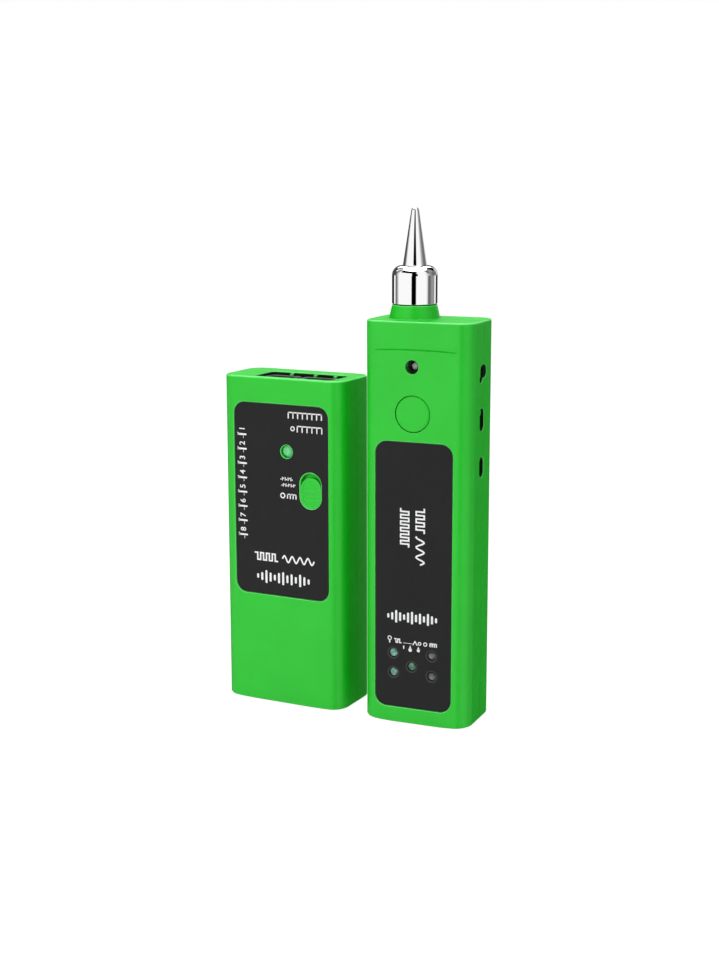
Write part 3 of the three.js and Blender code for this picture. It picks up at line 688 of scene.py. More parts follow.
def build_transmitter_shells():
    lamp = TX.middle("tx_status_led")
    lamp_lip, slot_lip = TX_LAMP["lip"], TX_SLOT["lip"]
    body = shell_body(TX, TX_CROWN)
    skirt_top = TX.h - WALL + 0.2
    skirt = prism(mouth_outline(TX_MOUTH["wall"]), on_top(TX), TX_MOUTH["skirt"], TX.h - skirt_top)
    body = joined(body, skirt)
    body = cut(
        body,
        hole(mouth_outline, on_top(TX), TX_MOUTH["lip"], TX_MOUTH["skirt"] + 1),
        pocket(TX, "tx_label_panel", [circle(TX_LAMP["collar"], lamp.x, lamp.z), slot_outline()]),
        hole(disc(TX_LAMP["collar"] - lamp_lip, lamp), on_front, lamp_lip, WALL + 1, COLLAR_TOP),
        hole(shrunk(slot_outline, slot_lip), on_front, slot_lip, WALL + 1, COLLAR_TOP))
    front, rear = halves(body, TX, TX_SEAM)
    piece("tx_front_casing", front, TX, GREEN, ["tx_front_shell"])

    door_low, door_high = TX.box("tx_battery_door")
    gap = DOOR["gap"]
    opening = block(door_low.x - gap, door_high.x + gap, TX.d - WALL - 2, TX.d + 1,
                    door_low.z + DOOR["hook"] - gap, door_high.z + gap)
    thumb = revolve(THUMB["profile"], lambda a, b, h: (a, TX.d + THUMB["back"] - h,
                                                       door_high.z + THUMB["above"] + b))
    sites = screw_sites(TX, "tx")
    rear = cut(rear, opening, thumb, *[screw_hole(TX, s) for s in sites])
    _, y, _, d = mouth_box()
    rib_y = y + d / 2 - TX_RIB["in"]
    ribs = [rounded_plate(sized(rounded_rect, *TX_RIB["size"], TX_RIB["radius"], at, rib_y, 4), on_top(TX),
                          TX_RIB["sunk"], TX_MOUTH["skirt"], 0.15) for at in TX_RIBS]
    ledge = block(door_low.x - 1.7, door_high.x + 1.7, TX.d - WALL - 0.8, TX.d - WALL + 0.05,
                  door_high.z - 1.2, door_high.z + 2.3)
    bosses = [boss(TX, s, TX_SEAM) for s in sites]
    piece("tx_rear_casing", merge([rear, *bosses, *ribs, ledge]), TX, GREEN, ["tx_rear_shell"])
    band = tongue(TX, TX_SEAM, TX_CROWN, mouth_outline(TX_MOUTH["wall"] + 0.1))
    # The tongue takes the near-black painted shade, so the joint line shows dark.
    piece("tx_joint_tongue", band, TX, PAINTED_SHADE)
    wide, deep = (size + TX_RIB["play"] for size in TX_RIB["size"])
    ways = [prism(rounded_rect(wide, deep, TX_RIB["radius"], at, rib_y, 4), on_top(TX), 0, 5)
            for at in TX_RIBS]
    # A near-black lining paints the shade inside the top opening.
    shade_lining = liner(mouth_outline, on_top(TX), TX_SHADE_LINING, TX_MOUTH["skirt"], 5)
    piece("tx_socket_shade_lining", cut(shade_lining, *ways), TX, PAINTED_SHADE)


def groove():
    """The shallow curved line across the receiver's brow, which fades out at both ends."""
    g, middle = RX_GROOVE, RX.middle("rx_scan_button").x + RX_GROOVE["x"]
    steps = 40
    rings = []
    for i in range(steps + 1):
        t = 2 * i / steps - 1
        fade = math.sqrt(max(0.0006, 1 - t ** 8))
        x, z = middle + g["half"] * t, g["z"] + g["rise"] * (1 - t * t)
        half, depth = g["w"] / 2 * fade, g["depth"] * fade
        edge = half + g["margin"] * fade
        section = [(-edge, -0.5), (-edge, 0.0), (-half * 0.6, depth * 0.6), (0, depth),
                   (half * 0.6, depth * 0.6), (edge, 0.0), (edge, -0.5)]
        rings.append([(x, y + SKIN, z + off) for off, y in section])
    return loft(rings)


def jack_outlines():
    """The phone socket's wide opening, and the keyway that runs down from it."""
    y, z = RX.middle("rx_earphone_jack").yz
    ty, tz = y + RX_JACK["tail"][0], z + RX_JACK["tail"][1]

    tail = sized(stadium, RX_JACK["tail_w"], RX_JACK["tail_h"], ty, tz)
    return (sized(stadium, RX_JACK["w"], RX_JACK["h"], y, z),
            lambda grow: turned_about(tail(grow), ty, tz, RX_JACK["tilt"]))


def slider_outline(grow):
    low, high = RX.box("rx_side_switch_knob")
    y, z = (low.y + high.y) / 2, high.z + RX_SLIDER["above"] - RX_SLIDER["packed_h"] / 2
    return stadium(RX_SLIDER["w"] + 2 * grow, RX_SLIDER["h"] + 2 * grow, y, z)


def port_outline(grow):
    port = RX.middle("rx_charging_port")
    return stadium(RX_PORT["w"] + 2 * grow, RX_PORT["h"] + 2 * grow, port.y, port.z)


def build_receiver_shells():
    torch, button = RX.middle("rx_torch_cup"), RX.middle("rx_scan_button")
    lamps = [RX.middle(f"rx_led_{i}") for i in range(1, 6)]
    low, high = RX.box("rx_scan_button")
    button_radius = (high.x - low.x) / 2 - RX_BUTTON["flange"]
    side = on_side(RX)
    tip = RX.middle("rx_probe_tip")
    body = cut(
        shell_body(RX, RX_CROWN),
        pocket(RX, "rx_label_panel", []),
        groove(),
        hole(disc(RX_TORCH["hole"], torch), on_front, RX_TORCH["lip"], WALL + 1),
        hole(disc(button_radius, button, 96), on_front, RX_BUTTON["lip"], WALL + 1),
        *[hole(disc(RX_WINDOW["shell"], at, 32), on_front, 0.0, WALL + 1) for at in lamps],
        *[hole(outline, side, RX_JACK["lip"], WALL + 1) for outline in jack_outlines()],
        hole(slider_outline, side, RX_SLIDER["lip"], WALL + 1),
        hole(port_outline, side, RX_PORT["lip"], WALL + 1),
        prism(circle(NECK["hole"], tip.x, tip.y), on_top(RX), -1, WALL + 1))
    front, rear = halves(body, RX, RX_SEAM)
    piece("rx_front_casing", front, RX, GREEN, ["rx_front_shell"])
    sites = screw_sites(RX, "rx")
    speaker = RX.middle("rx_speaker")
    slots = []
    for up in RX_SOUND["rows"]:
        w = 2 * math.sqrt(RX_SOUND["r"] ** 2 - up ** 2) - 0.4
        slots.append(hole(sized(stadium, w, RX_SOUND["slot"], 0, speaker.z + up, 6), on_rear(RX),
                          RX_SOUND["lip"], WALL + 1))
    rear = cut(rear, *[screw_hole(RX, s) for s in sites], *slots)
    bosses = [boss(RX, s, RX_SEAM) for s in sites]
    piece("rx_rear_casing", merge([rear, *bosses]), RX, GREEN, ["rx_rear_shell"])
    band = tongue(RX, RX_SEAM, RX_CROWN, circle(NECK["hole"] + 0.1, tip.x, tip.y))
    # The tongue takes the near-black painted shade, so the joint line shows dark.
    piece("rx_joint_tongue", band, RX, PAINTED_SHADE)


# ------------------------------------------------------------------ printed panels

def panel(unit, node, name, holes, lip=0.06):
    plate = rounded_plate(shrunk(label_outline(unit, node), PANEL_PLAY), on_front, PANEL_FRONT,
                          PANEL_FRONT + PANEL_THICK, 0.08)
    cutters = [hole(way, on_front, lip, 2.0, PANEL_FRONT) for way in holes]
    piece(name, cut(plate, *cutters), unit, FILM, [node])


def ink(outline):
    return prism(outline, on_front, PANEL_FRONT - INK, PANEL_FRONT + INK_ROOT)


def dash(x0, x1, z, thick):
    return ink(rounded_rect(x1 - x0, thick, thick / 2, (x0 + x1) / 2, z, 4))


def post(x, z0, z1, thick):
    return ink(rounded_rect(thick, z1 - z0, thick / 2, x, (z0 + z1) / 2, 4))


def ring(x, z, outer, stroke, count=28):
    """A printed ring."""
    bm = bmesh.new()
    rows = []
    for depth in (PANEL_FRONT - INK, PANEL_FRONT + INK_ROOT):
        for r in (outer, outer - stroke):
            rows.append([bm.verts.new((a, depth, b)) for a, b in circle(r, x, z, count)])
    for one, two in ((0, 1), (1, 3), (3, 2), (2, 0)):
        for i in range(count):
            j = (i + 1) % count
            bm.faces.new((rows[one][i], rows[one][j], rows[two][j], rows[two][i]))
    bmesh.ops.recalc_face_normals(bm, faces=bm.faces)
    return bm


def stroke_line(points, thick):
    """A printed line of constant thickness through points, with mitred corners."""
    left, right = [], []
    for i, (x, z) in enumerate(points):
        before = points[max(i - 1, 0)]
        after = points[min(i + 1, len(points) - 1)]
        d0 = Vector((x - before[0], z - before[1]))
        d1 = Vector((after[0] - x, after[1] - z))
        d0 = d0 if d0.length else d1
        d1 = d1 if d1.length else d0
        n0 = Vector((-d0.y, d0.x)).normalized()
        n1 = Vector((-d1.y, d1.x)).normalized()
        m = (n0 + n1).normalized()
        m = m * (thick / 2) / max(m.dot(n0), 0.5)
        left.append((x + m.x, z + m.y))
        right.append((x - m.x, z - m.y))
    return ink(left + right[::-1])


def digit(value, x, z, size, turn):
    """A numeral in Blender's own font, centred at (x, z) and turned in the panel's plane."""
    curve = bpy.data.curves.new("numeral", "FONT")
    curve.body = str(value)
    curve.size = size
    curve.align_x = "CENTER"
    curve.align_y = "CENTER"
    curve.extrude = 0.5
    curve.offset = size * 0.012
    curve.resolution_u = 3
    obj = bpy.data.objects.new("numeral", curve)
    bpy.context.scene.collection.objects.link(obj)
    evaluated = obj.evaluated_get(bpy.context.evaluated_depsgraph_get())
    mesh = bpy.data.meshes.new_from_object(evaluated)
    bpy.data.objects.remove(obj)
    bm = bmesh.new()
    bm.from_mesh(mesh)
    bpy.data.meshes.remove(mesh)
    c, s = math.cos(math.radians(turn)), math.sin(math.radians(turn))
    xs, ys = [v.co.x for v in bm.verts], [v.co.y for v in bm.verts]
    cx, cy = (min(xs) + max(xs)) / 2, (min(ys) + max(ys)) / 2
    for v in bm.verts:
        a, b = v.co.x - cx, v.co.y - cy
        depth = PANEL_FRONT - INK if v.co.z > 0 else PANEL_FRONT + INK_ROOT
        v.co = (x + a * c - b * s, depth, z + a * s + b * c)
    bmesh.ops.recalc_face_normals(bm, faces=bm.faces)
    return bm


def wave_mark(x0, x1, z, tall, thick, heights):
    """A tone drawn as a row of upright bars."""
    pitch = (x1 - x0 - thick) / (len(heights) - 1)
    return [post(x0 + thick / 2 + i * pitch, z - tall * h / 2, z + tall * h / 2, thick)
            for i, h in enumerate(heights)]


def pulse_points(x0, x1, z, tall, count):
    """The corners of a square wave."""
    step = (x1 - x0) / count
    points = []
    for i in range(count):
        level = tall / 2 if i % 2 == 0 else -tall / 2
        points += [(x0 + i * step, z + level), (x0 + (i + 1) * step, z + level)]
    return points


def plug_symbol(x0, x1, z, tall, pins, thick=0.42):
    """The pins of a plug: a row of upright bars that hang from one line."""
    line = dash(x0, x1, z + tall / 2 - thick / 2, thick)
    return [line] + wave_mark(x0, x1, z, tall, thick, (1,) * pins)


def tick_row(x0, x1, z, tall, count):
    """A row of short marks, tall and low in turn, that stand on one line."""
    pitch = (x1 - x0) / (count - 0.5)
    return [dash(x0 + i * pitch, x0 + i * pitch + 0.42 * pitch, z + (0.15 if i % 2 else -0.15) * tall, 0.45)
            for i in range(count)] + [post(x0 + (i + 0.75) * pitch, z - tall / 2, z + tall / 2, 0.3)
                                      for i in range(count - 1)]


TX_PINS = {"count": 8, "top": 95.9, "pitch": 4.98}      # the numbered rows down the left
WAVE = (0.35, 0.6, 1.0, 0.7, 0.45, 0.8, 1.0, 0.6, 0.85, 0.5, 0.95, 0.65, 0.4)


def build_transmitter_label():
    lamp = TX.middle("tx_status_led")
    panel(TX, "tx_label_panel", "tx_label",
          [disc(TX_LAMP["collar"] + PANEL_GAP, lamp), shrunk(slot_outline, -PANEL_GAP)])
    marks = plug_symbol(2.8, 15.8, 100.9, 2.3, 8) + plug_symbol(6.2, 15.9, 96.4, 2.3, 6)
    marks += [ring(4.6, 96.4, 0.85, 0.36)]
    for row in range(TX_PINS["count"]):
        top = TX_PINS["top"] - TX_PINS["pitch"] * row
        marks += [digit(row + 1, -15.1, top - 0.85, 3.0, 90),
                  dash(-17.0, -13.3, top - 2.75, 0.62),
                  post(-16.75, top - 3.2, top - 2.1, 0.5),
                  post(-14.6, top - 4.1, top - 3.2, 0.16)]
    marks += tick_row(-0.3, 4.6, 79.1, 1.3, 5) + tick_row(0.1, 5.6, 77.0, 1.2, 6)
    marks += [ring(0.6, 73.3, 1.0, 0.42)] + plug_symbol(2.2, 5.9, 73.2, 1.8, 4)
    marks += [stroke_line(pulse_points(-10.7, -1.5, 51.3, 2.4, 8), 0.55),
              stroke_line([(0.2 + i * 0.3, 51.3 + 1.1 * math.sin(i * 0.62)) for i in range(42)], 0.55)]
    marks += wave_mark(-9.9, 10.7, 44.3, 4.6, 0.8, WAVE)
    piece("tx_label_print", merge(marks), TX, INK_WHITE)


def build_receiver_label():
    lamps = [RX.middle(f"rx_led_{i}") for i in range(1, 6)]
    panel(RX, "rx_label_panel", "rx_label",
          [disc(RX_WINDOW["panel"], at, 32) for at in lamps], 0.4)
    marks = wave_mark(-9.9, 7.7, 36.5, 4.3, 0.75, WAVE)
    marks += [stroke_line([(-3.8 + level, z) for z, level in pulse_points(60.2, 73.2, 0.0, 2.8, 12)], 0.55),
              stroke_line([(1.6 + 1.4 * math.sin(i * 0.66), 54.7 + i * 0.35) for i in range(28)], 0.55),
              stroke_line([(1.6 + level, z) for z, level in pulse_points(65.2, 73.6, 0.0, 2.8, 7)], 0.55)]
    marks += [ring(-9.0, 28.9, 0.75, 0.3), post(-9.0, 27.2, 28.4, 0.45),
              stroke_line(pulse_points(-7.4, -4.8, 28.2, 1.2, 4), 0.36),
              dash(-4.2, -1.0, 27.7, 0.16),
              stroke_line([(-0.8, 27.3), (0.0, 28.6), (0.8, 27.3)], 0.34), ring(1.6, 28.0, 0.62, 0.28),
              ring(3.6, 28.0, 0.7, 0.28)]
    marks += plug_symbol(5.1, 7.7, 28.0, 1.4, 4)
    marks += [post(-4.0, 25.6, 26.8, 0.4), ink(circle(0.62, -1.7, 25.5, 20)),
              ink([(-2.25, 25.7), (-1.15, 25.7), (-1.7, 27.1)]), ink(circle(0.55, 1.2, 25.6, 20)),
              ink([(0.7, 25.8), (1.7, 25.8), (1.2, 27.0)])]
    piece("rx_label_print", merge(marks), RX, INK_WHITE)


# ------------------------------------------------------------------ transmitter fittings

def dome_lamp(unit, node, name, material, r, bulge, sink=0.0, size=SMALL_LAMP):
    """A domed lamp that faces forward, with its flange and leads."""
    low, high = unit.box(node)
    at, front = unit.middle(node), low.y + sink
    body = [(a, front + bulge * (b - front)) for a, b in arc(0, front + r, r, -90, 0, size["steps"])]
    body[0] = (0, front)
    back, flange, lead = body[-1][1], r + size["flange"], size["lead"] / 2
    step, end = back + size["barrel"], back + size["end"]
    body += [(r, step), (flange, step + 0.1), (flange, end), (0, end)]
    leads = [block(at.x + s - lead, at.x + s + lead, back + size["lead_from"], high.y,
                   at.z - lead, at.z + lead) for s in (-size["apart"], size["apart"])]
    lamp = revolve(body, inward_at(at.x, at.z), size["segments"])
    piece(name, merge([lamp] + leads), unit, material, [node])


def build_transmitter_fittings():
    x, z = TX.middle("tx_switch_knob").xz
    w, h, face, rim = (TX_KNOB[k] for k in ("w", "h", "face", "rim"))
    floor = face + TX_KNOB["dish"]
    cap = rounded_plate(sized(stadium, w, h, x, z, 14), on_front, face, WALL + 0.5, 0.3)
    dish = hole(sized(stadium, w - 2 * rim, h - 2 * rim, x, z, 14), on_front, 0.3, floor, face)
    cap = cut(cap, dish)
    ridges = []
    for up in TX_KNOB["ridges"]:
        half = math.sqrt((w / 2 - rim) ** 2 - max(0.0, abs(up) - (h - w) / 2) ** 2) - 0.1
        ridges.append(rounded_plate(sized(rounded_rect, 2 * half, 0.7, 0.3, x, z + up, 4), on_front,
                                    floor - 0.16, floor + 0.5, 0.15))
    low, high = TX.box("tx_switch_knob")
    plate = rounded_plate(sized(rounded_rect, high.x - low.x, high.z - low.z, 2, x, z, 6), on_front,
                          WALL + 0.3, WALL + 1.3, 0.15)
    lever = rounded_plate(sized(rounded_rect, *TX_KNOB["lever"], 0.3, x, z - 1, 4), on_front,
                          WALL + 0.8, high.y, 0.15)
    piece("tx_slide_knob", merge([cap, plate, lever] + ridges), TX, KNOB_GREEN,
          ["tx_switch_knob"], "tx_switch")

    dome_lamp(TX, "tx_status_led", "tx_status_lamp", LENS_STATUS, TX_LAMP["lens"], 0.5, size=LARGE_LAMP)
    build_battery_door()
    for node, way in SOCKET_WAYS.items():
        build_socket(node, way)


def build_battery_door():
    low, high = TX.box("tx_battery_door")
    bottom, top = low.z + DOOR["hook"], high.z
    w, mid = high.x - low.x, (bottom + top) / 2
    plate = rounded_plate(sized(rounded_rect, w, top - bottom, 0.8, 0, mid, 5), on_front,
                          TX.d - WALL + 0.5, high.y - SKIN, 0.25)
    grips = [hole(sized(stadium, GRIP["w"] - GRIP["narrower"] * i, GRIP["h"], 0,
                        top - GRIP["below"] - GRIP["pitch"] * i, 6), on_rear(TX), 0.2, GRIP["depth"])
             for i in range(GRIP["count"])]
    half, base, tip = ARROW["half"], top - ARROW["below"], top - ARROW["below"] - ARROW["h"]
    arrow = hole(lambda grow: [(0, tip - grow), (half + grow, base + grow), (-half - grow, base + grow)],
                 on_rear(TX), 0.12, ARROW["depth"])
    hooks = []
    for x in (-9, 9):
        hooks.append(block(x - 2, x + 2, low.y, TX.d - WALL + 0.7, bottom, bottom + 2))
        hooks.append(block(x - 2, x + 2, low.y, low.y + 0.5, low.z, bottom + 2))
    piece("tx_door", merge([cut(plate, *grips, arrow)] + hooks), TX, GREEN,
          ["tx_battery_door"], "tx_door")


def build_socket(node, way):
    """A keyed plug socket with rounded edges and a latch way."""
    low, high = TX.box(node)
    x, top = (low.x + high.x) / 2, high.z

    def housing(back):
        y = (low.y + back) / 2
        return sized(rounded_rect, high.x - low.x, back - low.y, 1.0, x, y, 4)

    start, shoulder = TX.h - top, TX.h - TX.box("tx_circuit_board")[1].z
    neck = rounded_plate(housing(high.y - TX_MOUTH["neck"]), on_top(TX), start, TX.h - low.z, 0.2)
    body = joined(neck, rounded_plate(housing(high.y), on_top(TX), shoulder, TX.h - low.z, 0.2))
    plug = hole(sized(rounded_rect, way, SOCKET["way"], 0.3, x, low.y + SOCKET["way_y"], 3), on_top(TX),
                0.25, TX.h - low.z - SOCKET["floor"], start)
    latch = hole(sized(rounded_rect, *SOCKET["latch"], 0.2, x, low.y + SOCKET["latch_y"], 3), on_top(TX),
                 0.2, TX.h - low.z - SOCKET["latch_floor"], start)
    piece(node.replace("_jack", "_socket"), cut(body, plug, latch), TX, BLACK, [node])


# ------------------------------------------------------------------ receiver fittings

def build_probe():
    tip_low, tip_high = RX.box("rx_probe_tip")
    x, y = (tip_low.x + tip_high.x) / 2, (tip_low.y + tip_high.y) / 2
    axis = upright_at(x, y)
    ferrule_low, ferrule_high = RX.box("rx_ferrule")
    r = (ferrule_high.x - ferrule_low.x) / 2
    low, high = RX.box("rx_neck")
    fillet, edge, inner, collar = NECK["fillet"], NECK["lip"], PROBE["bore"], NECK["collar"]
    base, top, foot = RX.h + 0.02, high.z, (high.x - low.x) / 2 - fillet
    flare = arc(foot + fillet, base + fillet, fillet, -92, -172, 8)
    side = [(foot + (r - foot) * t + 0.12 * (1 - t) * t, base + fillet + (top - base - 1.0) * t)
            for t in (0.25, 0.5, 0.75, 0.95)]
    lip = arc(r - edge, top - edge, edge, 0, 90, 5)
    bore = [(inner, top), (inner, low.z), (collar, low.z), (collar, base)]
    neck = revolve(bore + flare + side + lip + bore[:1], axis, 96)
    piece("rx_neck_cone", neck, RX, GREEN, ["rx_neck"])

    low, high = ferrule_low, ferrule_high
    foot, round_off = FERRULE["foot"], FERRULE["shoulder"]
    foot_edge = arc(r - foot, low.z + foot, foot, -90, 0, 4)
    shoulder = arc(r - round_off, high.z - round_off, round_off, 0, 88, 20)
    profile = [(inner, low.z)] + foot_edge + shoulder + [(inner, high.z), (inner, low.z)]
    piece("rx_ferrule_cap", revolve(profile, axis, 128), RX, CHROME, ["rx_ferrule"])

    base, apex = high.z + 0.05, tip_high.z - SKIN
    r0, r1, thin = (tip_high.x - tip_low.x) / 2, PROBE["nose"], PROBE["stem"]
    slope = math.degrees(math.atan2(r0 - r1, apex - base))
    nose = arc(0, apex - r1, r1, slope, 90, 10)
    stem = [(0, tip_low.z), (thin, tip_low.z), (thin, base), (r0 - 0.1, base), (r0, base + 0.12)]
    piece("rx_probe_cone", revolve(stem + nose[:-1] + [(0, apex)], axis, 96), RX, CHROME,
          ["rx_probe_tip"])


def build_receiver_fittings():
    low, high = RX.box("rx_scan_button")
    at = RX.middle("rx_scan_button")
    flange = (high.x - low.x) / 2
    r = flange - RX_BUTTON["flange"] - RX_BUTTON["gap"]
    crown = [(0, 0.08)] + [(r * s, 0.08 + 0.12 * s ** 2) for s in (0.2, 0.4, 0.6, 0.75, 0.88)]
    edge = arc(r - 0.3, 0.5, 0.3, -60, 0, 5)
    back = [(r, WALL + 0.3), (flange, WALL + 0.3), (flange, WALL + 1.1), (2, WALL + 1.1), (2, high.y),
            (0, high.y)]
    cap = revolve(crown + edge + back, inward_at(at.x, at.z), 96)
    piece("rx_button_cap", cap, RX, GREEN, ["rx_scan_button"], "rx_button")

    low, high = RX.box("rx_torch_cup")
    at = RX.middle("rx_torch_cup")
    flange, r = (high.x - low.x) / 2, RX_TORCH["hole"] - 0.1
    front, throat = RX_TORCH["sunk"], RX_TORCH["throat"]
    bowl = [(throat + (r - 0.2 - throat) * t, front + 0.1 + 1.9 * (1 - t) ** 1.6)
            for t in (1.0, 0.9, 0.75, 0.6, 0.4, 0.2, 0.0)]
    cup = bowl + [(1.7, high.y), (flange, high.y), (flange, WALL + 0.3), (r, WALL + 0.3), (r, front)]
    # The reflector is drawn in darkened chrome, painted shade for the dark hole.
    piece("rx_torch_reflector", revolve(cup + bowl[:1], inward_at(at.x, at.z), 64), RX, DARKENED_CHROME,
          ["rx_torch_cup"])
    dome_lamp(RX, "rx_torch_led", "rx_torch_lamp", LENS_CLEAR, RX_TORCH["lamp"], 1.0)
    for i, material in enumerate((LENS_GREEN, LENS_GREEN, LENS_DEEP, LENS_GREY, LENS_GREY), 1):
        dome_lamp(RX, f"rx_led_{i}", f"rx_lamp_{i}", material, RX_WINDOW["lens"], 0.5, -0.3)
        at, bore, rim = RX.middle(f"rx_led_{i}"), RX_WINDOW["lens"] + 0.02, RX_WINDOW["panel"] - 0.03
        sleeve = [(bore, 0.46), (rim, 0.5), (rim, WALL), (bore, WALL), (bore, 0.46)]
        piece(f"rx_lamp_sleeve_{i}", revolve(sleeve, inward_at(at.x, at.z), 40), RX, BLACK)
    build_side_fittings()


def build_side_fittings():
    side, face = on_side(RX), RX.w / 2
    low, high = RX.box("rx_earphone_jack")
    at = RX.middle("rx_earphone_jack")
    bore = RX_JACK["h"] / 2 - 0.35
    can = rounded_plate(sized(rounded_rect, 6, 6, 0.5, at.y, at.z, 4), side, WALL + 0.3, face - low.x, 0.2)
    way = revolve([(0, -1), (bore, -1), (bore, 10), (0, 10)], sideways_at(RX, at.y, at.z), 32)
    # Near-black linings paint the shade inside the phone socket's opening.
    shade_lining = joined(*[liner(outline, side, RX_SHADE_LINING, WALL + 0.1, WALL) for outline in jack_outlines()])
    rim, foot = bore + 0.3, WALL + 0.6
    collar = revolve([(bore, 0.6), (rim, 0.5), (rim, foot), (bore, foot), (bore, 0.6)],
                     sideways_at(RX, at.y, at.z), 40)
    piece("rx_phone_socket", merge([cut(can, way), collar]), RX, BLACK, ["rx_earphone_jack"])
    piece("rx_phone_shade_lining", shade_lining, RX, PAINTED_SHADE)

    low, high = RX.box("rx_side_switch_knob")
    y = (low.y + high.y) / 2
    w, tall = RX_SLIDER["w"] - 2 * RX_SHADE_LINING["wall"] - 0.2, RX_SLIDER["knob"]
    z = high.z - 0.2 - tall / 2
    cap = rounded_plate(sized(rounded_rect, w, tall, 1.2, y, z, 8), side, 0.9, WALL + 0.6, 0.4)
    notches = [hole(sized(rounded_rect, w - 1.0, 0.22, 0.1, y, z + up, 3), side, 0.08, 1.15, 0.9)
               for up in (-0.55, 0.0, 0.55)]
    lever = block(low.x, face - WALL, y - 0.8, y + 0.8, z - 0.7, z + 0.7)
    piece("rx_slide_knob", merge([cut(cap, *notches), lever]), RX, GREEN,
          ["rx_side_switch_knob"], "rx_side_switch")
    # A near-black lining paints the shade inside the slider's opening.
    piece("rx_slide_shade_lining", liner(slider_outline, side, RX_SHADE_LINING, WALL + 0.1, WALL + 1), RX, PAINTED_SHADE)

    low, high = RX.box("rx_charging_port")
    at, start = RX.middle("rx_charging_port"), WALL + 0.25
    inset = RX_SHADE_LINING["wall"] + 0.05
    back = face - low.x
    sleeve = rounded_plate(shrunk(port_outline, inset), side, start, back, 0.1)
    inside = hole(shrunk(port_outline, inset + RX_PORT["wall"]), side, 0.1, back - 0.8, start)
    blade = rounded_plate(sized(rounded_rect, *RX_PORT["blade"], 0.2, at.y, at.z, 3), side, start - 0.6,
                          back - 0.5, 0.08)
    piece("rx_port_sleeve", merge([cut(sleeve, inside), blade]), RX, STEEL, ["rx_charging_port"])
    # A near-black lining paints the shade inside the charging port's opening.
    piece("rx_port_shade_lining", liner(port_outline, side, RX_SHADE_LINING, WALL + 0.1, WALL + 1), RX, PAINTED_SHADE)


# ------------------------------------------------------------------ screws and carried-over nodes

def build_screws(unit, prefix):
    for i in range(1, 5):
        node = f"{prefix}_case_screw_{i}"
        low, high = unit.box(node)
        at = unit.middle(node)
        top = high.y
        shank = [(0, low.y), (1.0, low.y + 1.5)]
        for k in range(THREAD["turns"]):
            y, root = low.y + THREAD["tip"] + k * THREAD["pitch"], THREAD["root"]
            shank += [(THREAD["crest"], y), (root, y + 0.35), (root, y + 0.55)]
        head = [(r, top - below) for r, below in SCREW_HEAD]
        cross = []
        for w, h in ((2.6, 0.55), (0.55, 2.6)):
            cross.append(hole(sized(rounded_rect, w, h, 0.15, at.x, at.z, 3),
                              lambda a, b, depth: (a, top - depth, b), 0.08, 0.8))
        body = revolve(shank + head, inward_at(at.x, at.z), 28)
        piece(f"{prefix}_screw_{i}", cut(body, *cross), unit, STEEL, [node])


CARRIED = {
    "tx_rj11_contacts": GOLD, "tx_rj45_contacts": GOLD, "tx_switch_body": STEEL, "tx_circuit_board": BOARD,
    "tx_battery": SLEEVE, "tx_battery_snap": BLACK, "rx_tip_contact": GOLD, "rx_button_switch": STEEL,
    "rx_side_switch_body": BLACK, "rx_circuit_board": BOARD, "rx_speaker": BLACK, "rx_battery": SLEEVE,
}


def dress_carried():
    """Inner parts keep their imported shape, with softened edges and a real material."""
    for name, material in CARRIED.items():
        obj = frame["nodes"][name]
        obj.data.materials.clear()
        obj.data.materials.append(material)
        bevel = obj.modifiers.new("edges", "BEVEL")
        bevel.width = 0.12 * MM
        bevel.segments = 2
        bevel.limit_method = "ANGLE"
        bevel.angle_limit = math.radians(50)


# ------------------------------------------------------------------ studio

def build_floor():
    """A wide, plain, pale floor; the camera sees it evenly lit, with only a faint shadow."""
    wide, thick = 9000, 4
    disk = [(0, 0), (wide / 2, 0), (wide, 0), (wide, -thick), (0, -thick)]
    floor = as_object(revolve(disk, upright_at(0, 0), 96), "floor")
    floor.data.transform(Matrix.Scale(MM, 4))
    floor.location.z = -0.0002
    floor.visible_glossy = False
    material, shader = plain_material("pale_floor", (0.93, 0.93, 0.93), 0.6)
    varied(material, noise(material, 0.01, 2), shader.inputs["Base Color"], (0.92,) * 3, (0.94,) * 3)
    shader.inputs["Specular IOR Level"].default_value = 0.1
    tree, links = material.node_tree, material.node_tree.links
    glow = add_node(tree, "Emission", Strength=FLOOR_GLOW["strength"])
    path, share = add_node(tree, "LightPath"), add_node(tree, "Math")
    share.operation = "MULTIPLY"
    share.inputs[1].default_value = FLOOR_GLOW["share"]
    mix = add_node(tree, "MixShader")
    links.new(path.outputs["Is Camera Ray"], share.inputs[0])
    links.new(share.outputs[0], mix.inputs["Fac"])
    links.new(shader.outputs[0], mix.inputs[1])
    links.new(glow.outputs[0], mix.inputs[2])
    links.new(mix.outputs[0], tree.nodes["Material Output"].inputs["Surface"])
    floor.data.materials.append(material)


# What polished metal sees round the horizon, as (degrees from -Y towards +X, brightness).
HORIZON = [
    (-180, 0.3), (-176, 0.3), (-170, 0.0), (-106, 0.0), (-103, 0.98), (-92, 0.98), (-89, 0.25), (-81, 0.12),
    (-70, 0.55), (-62, 1.0), (7, 1.0), (9.5, 0.0), (30.5, 0.0), (33, 1.0), (85, 1.0), (92, 0.7), (99, 0.12),
    (108, 0.15), (120, 0.3), (142, 0.3), (150, 0.0), (176, 0.0), (180, 0.3),
]
UPPER_HORIZON = [
    (-180, 0.7), (-165, 0.2), (-150, 0.15), (-112, 0.05), (-86, 0.1), (-66, 0.8), (-58, 1.0), (9, 1.0),
    (11, 0.0), (39, 0.0), (41, 1.0), (80, 1.0), (102, 0.4), (127, 0.15), (160, 0.18), (172, 0.7), (180, 0.7),
]


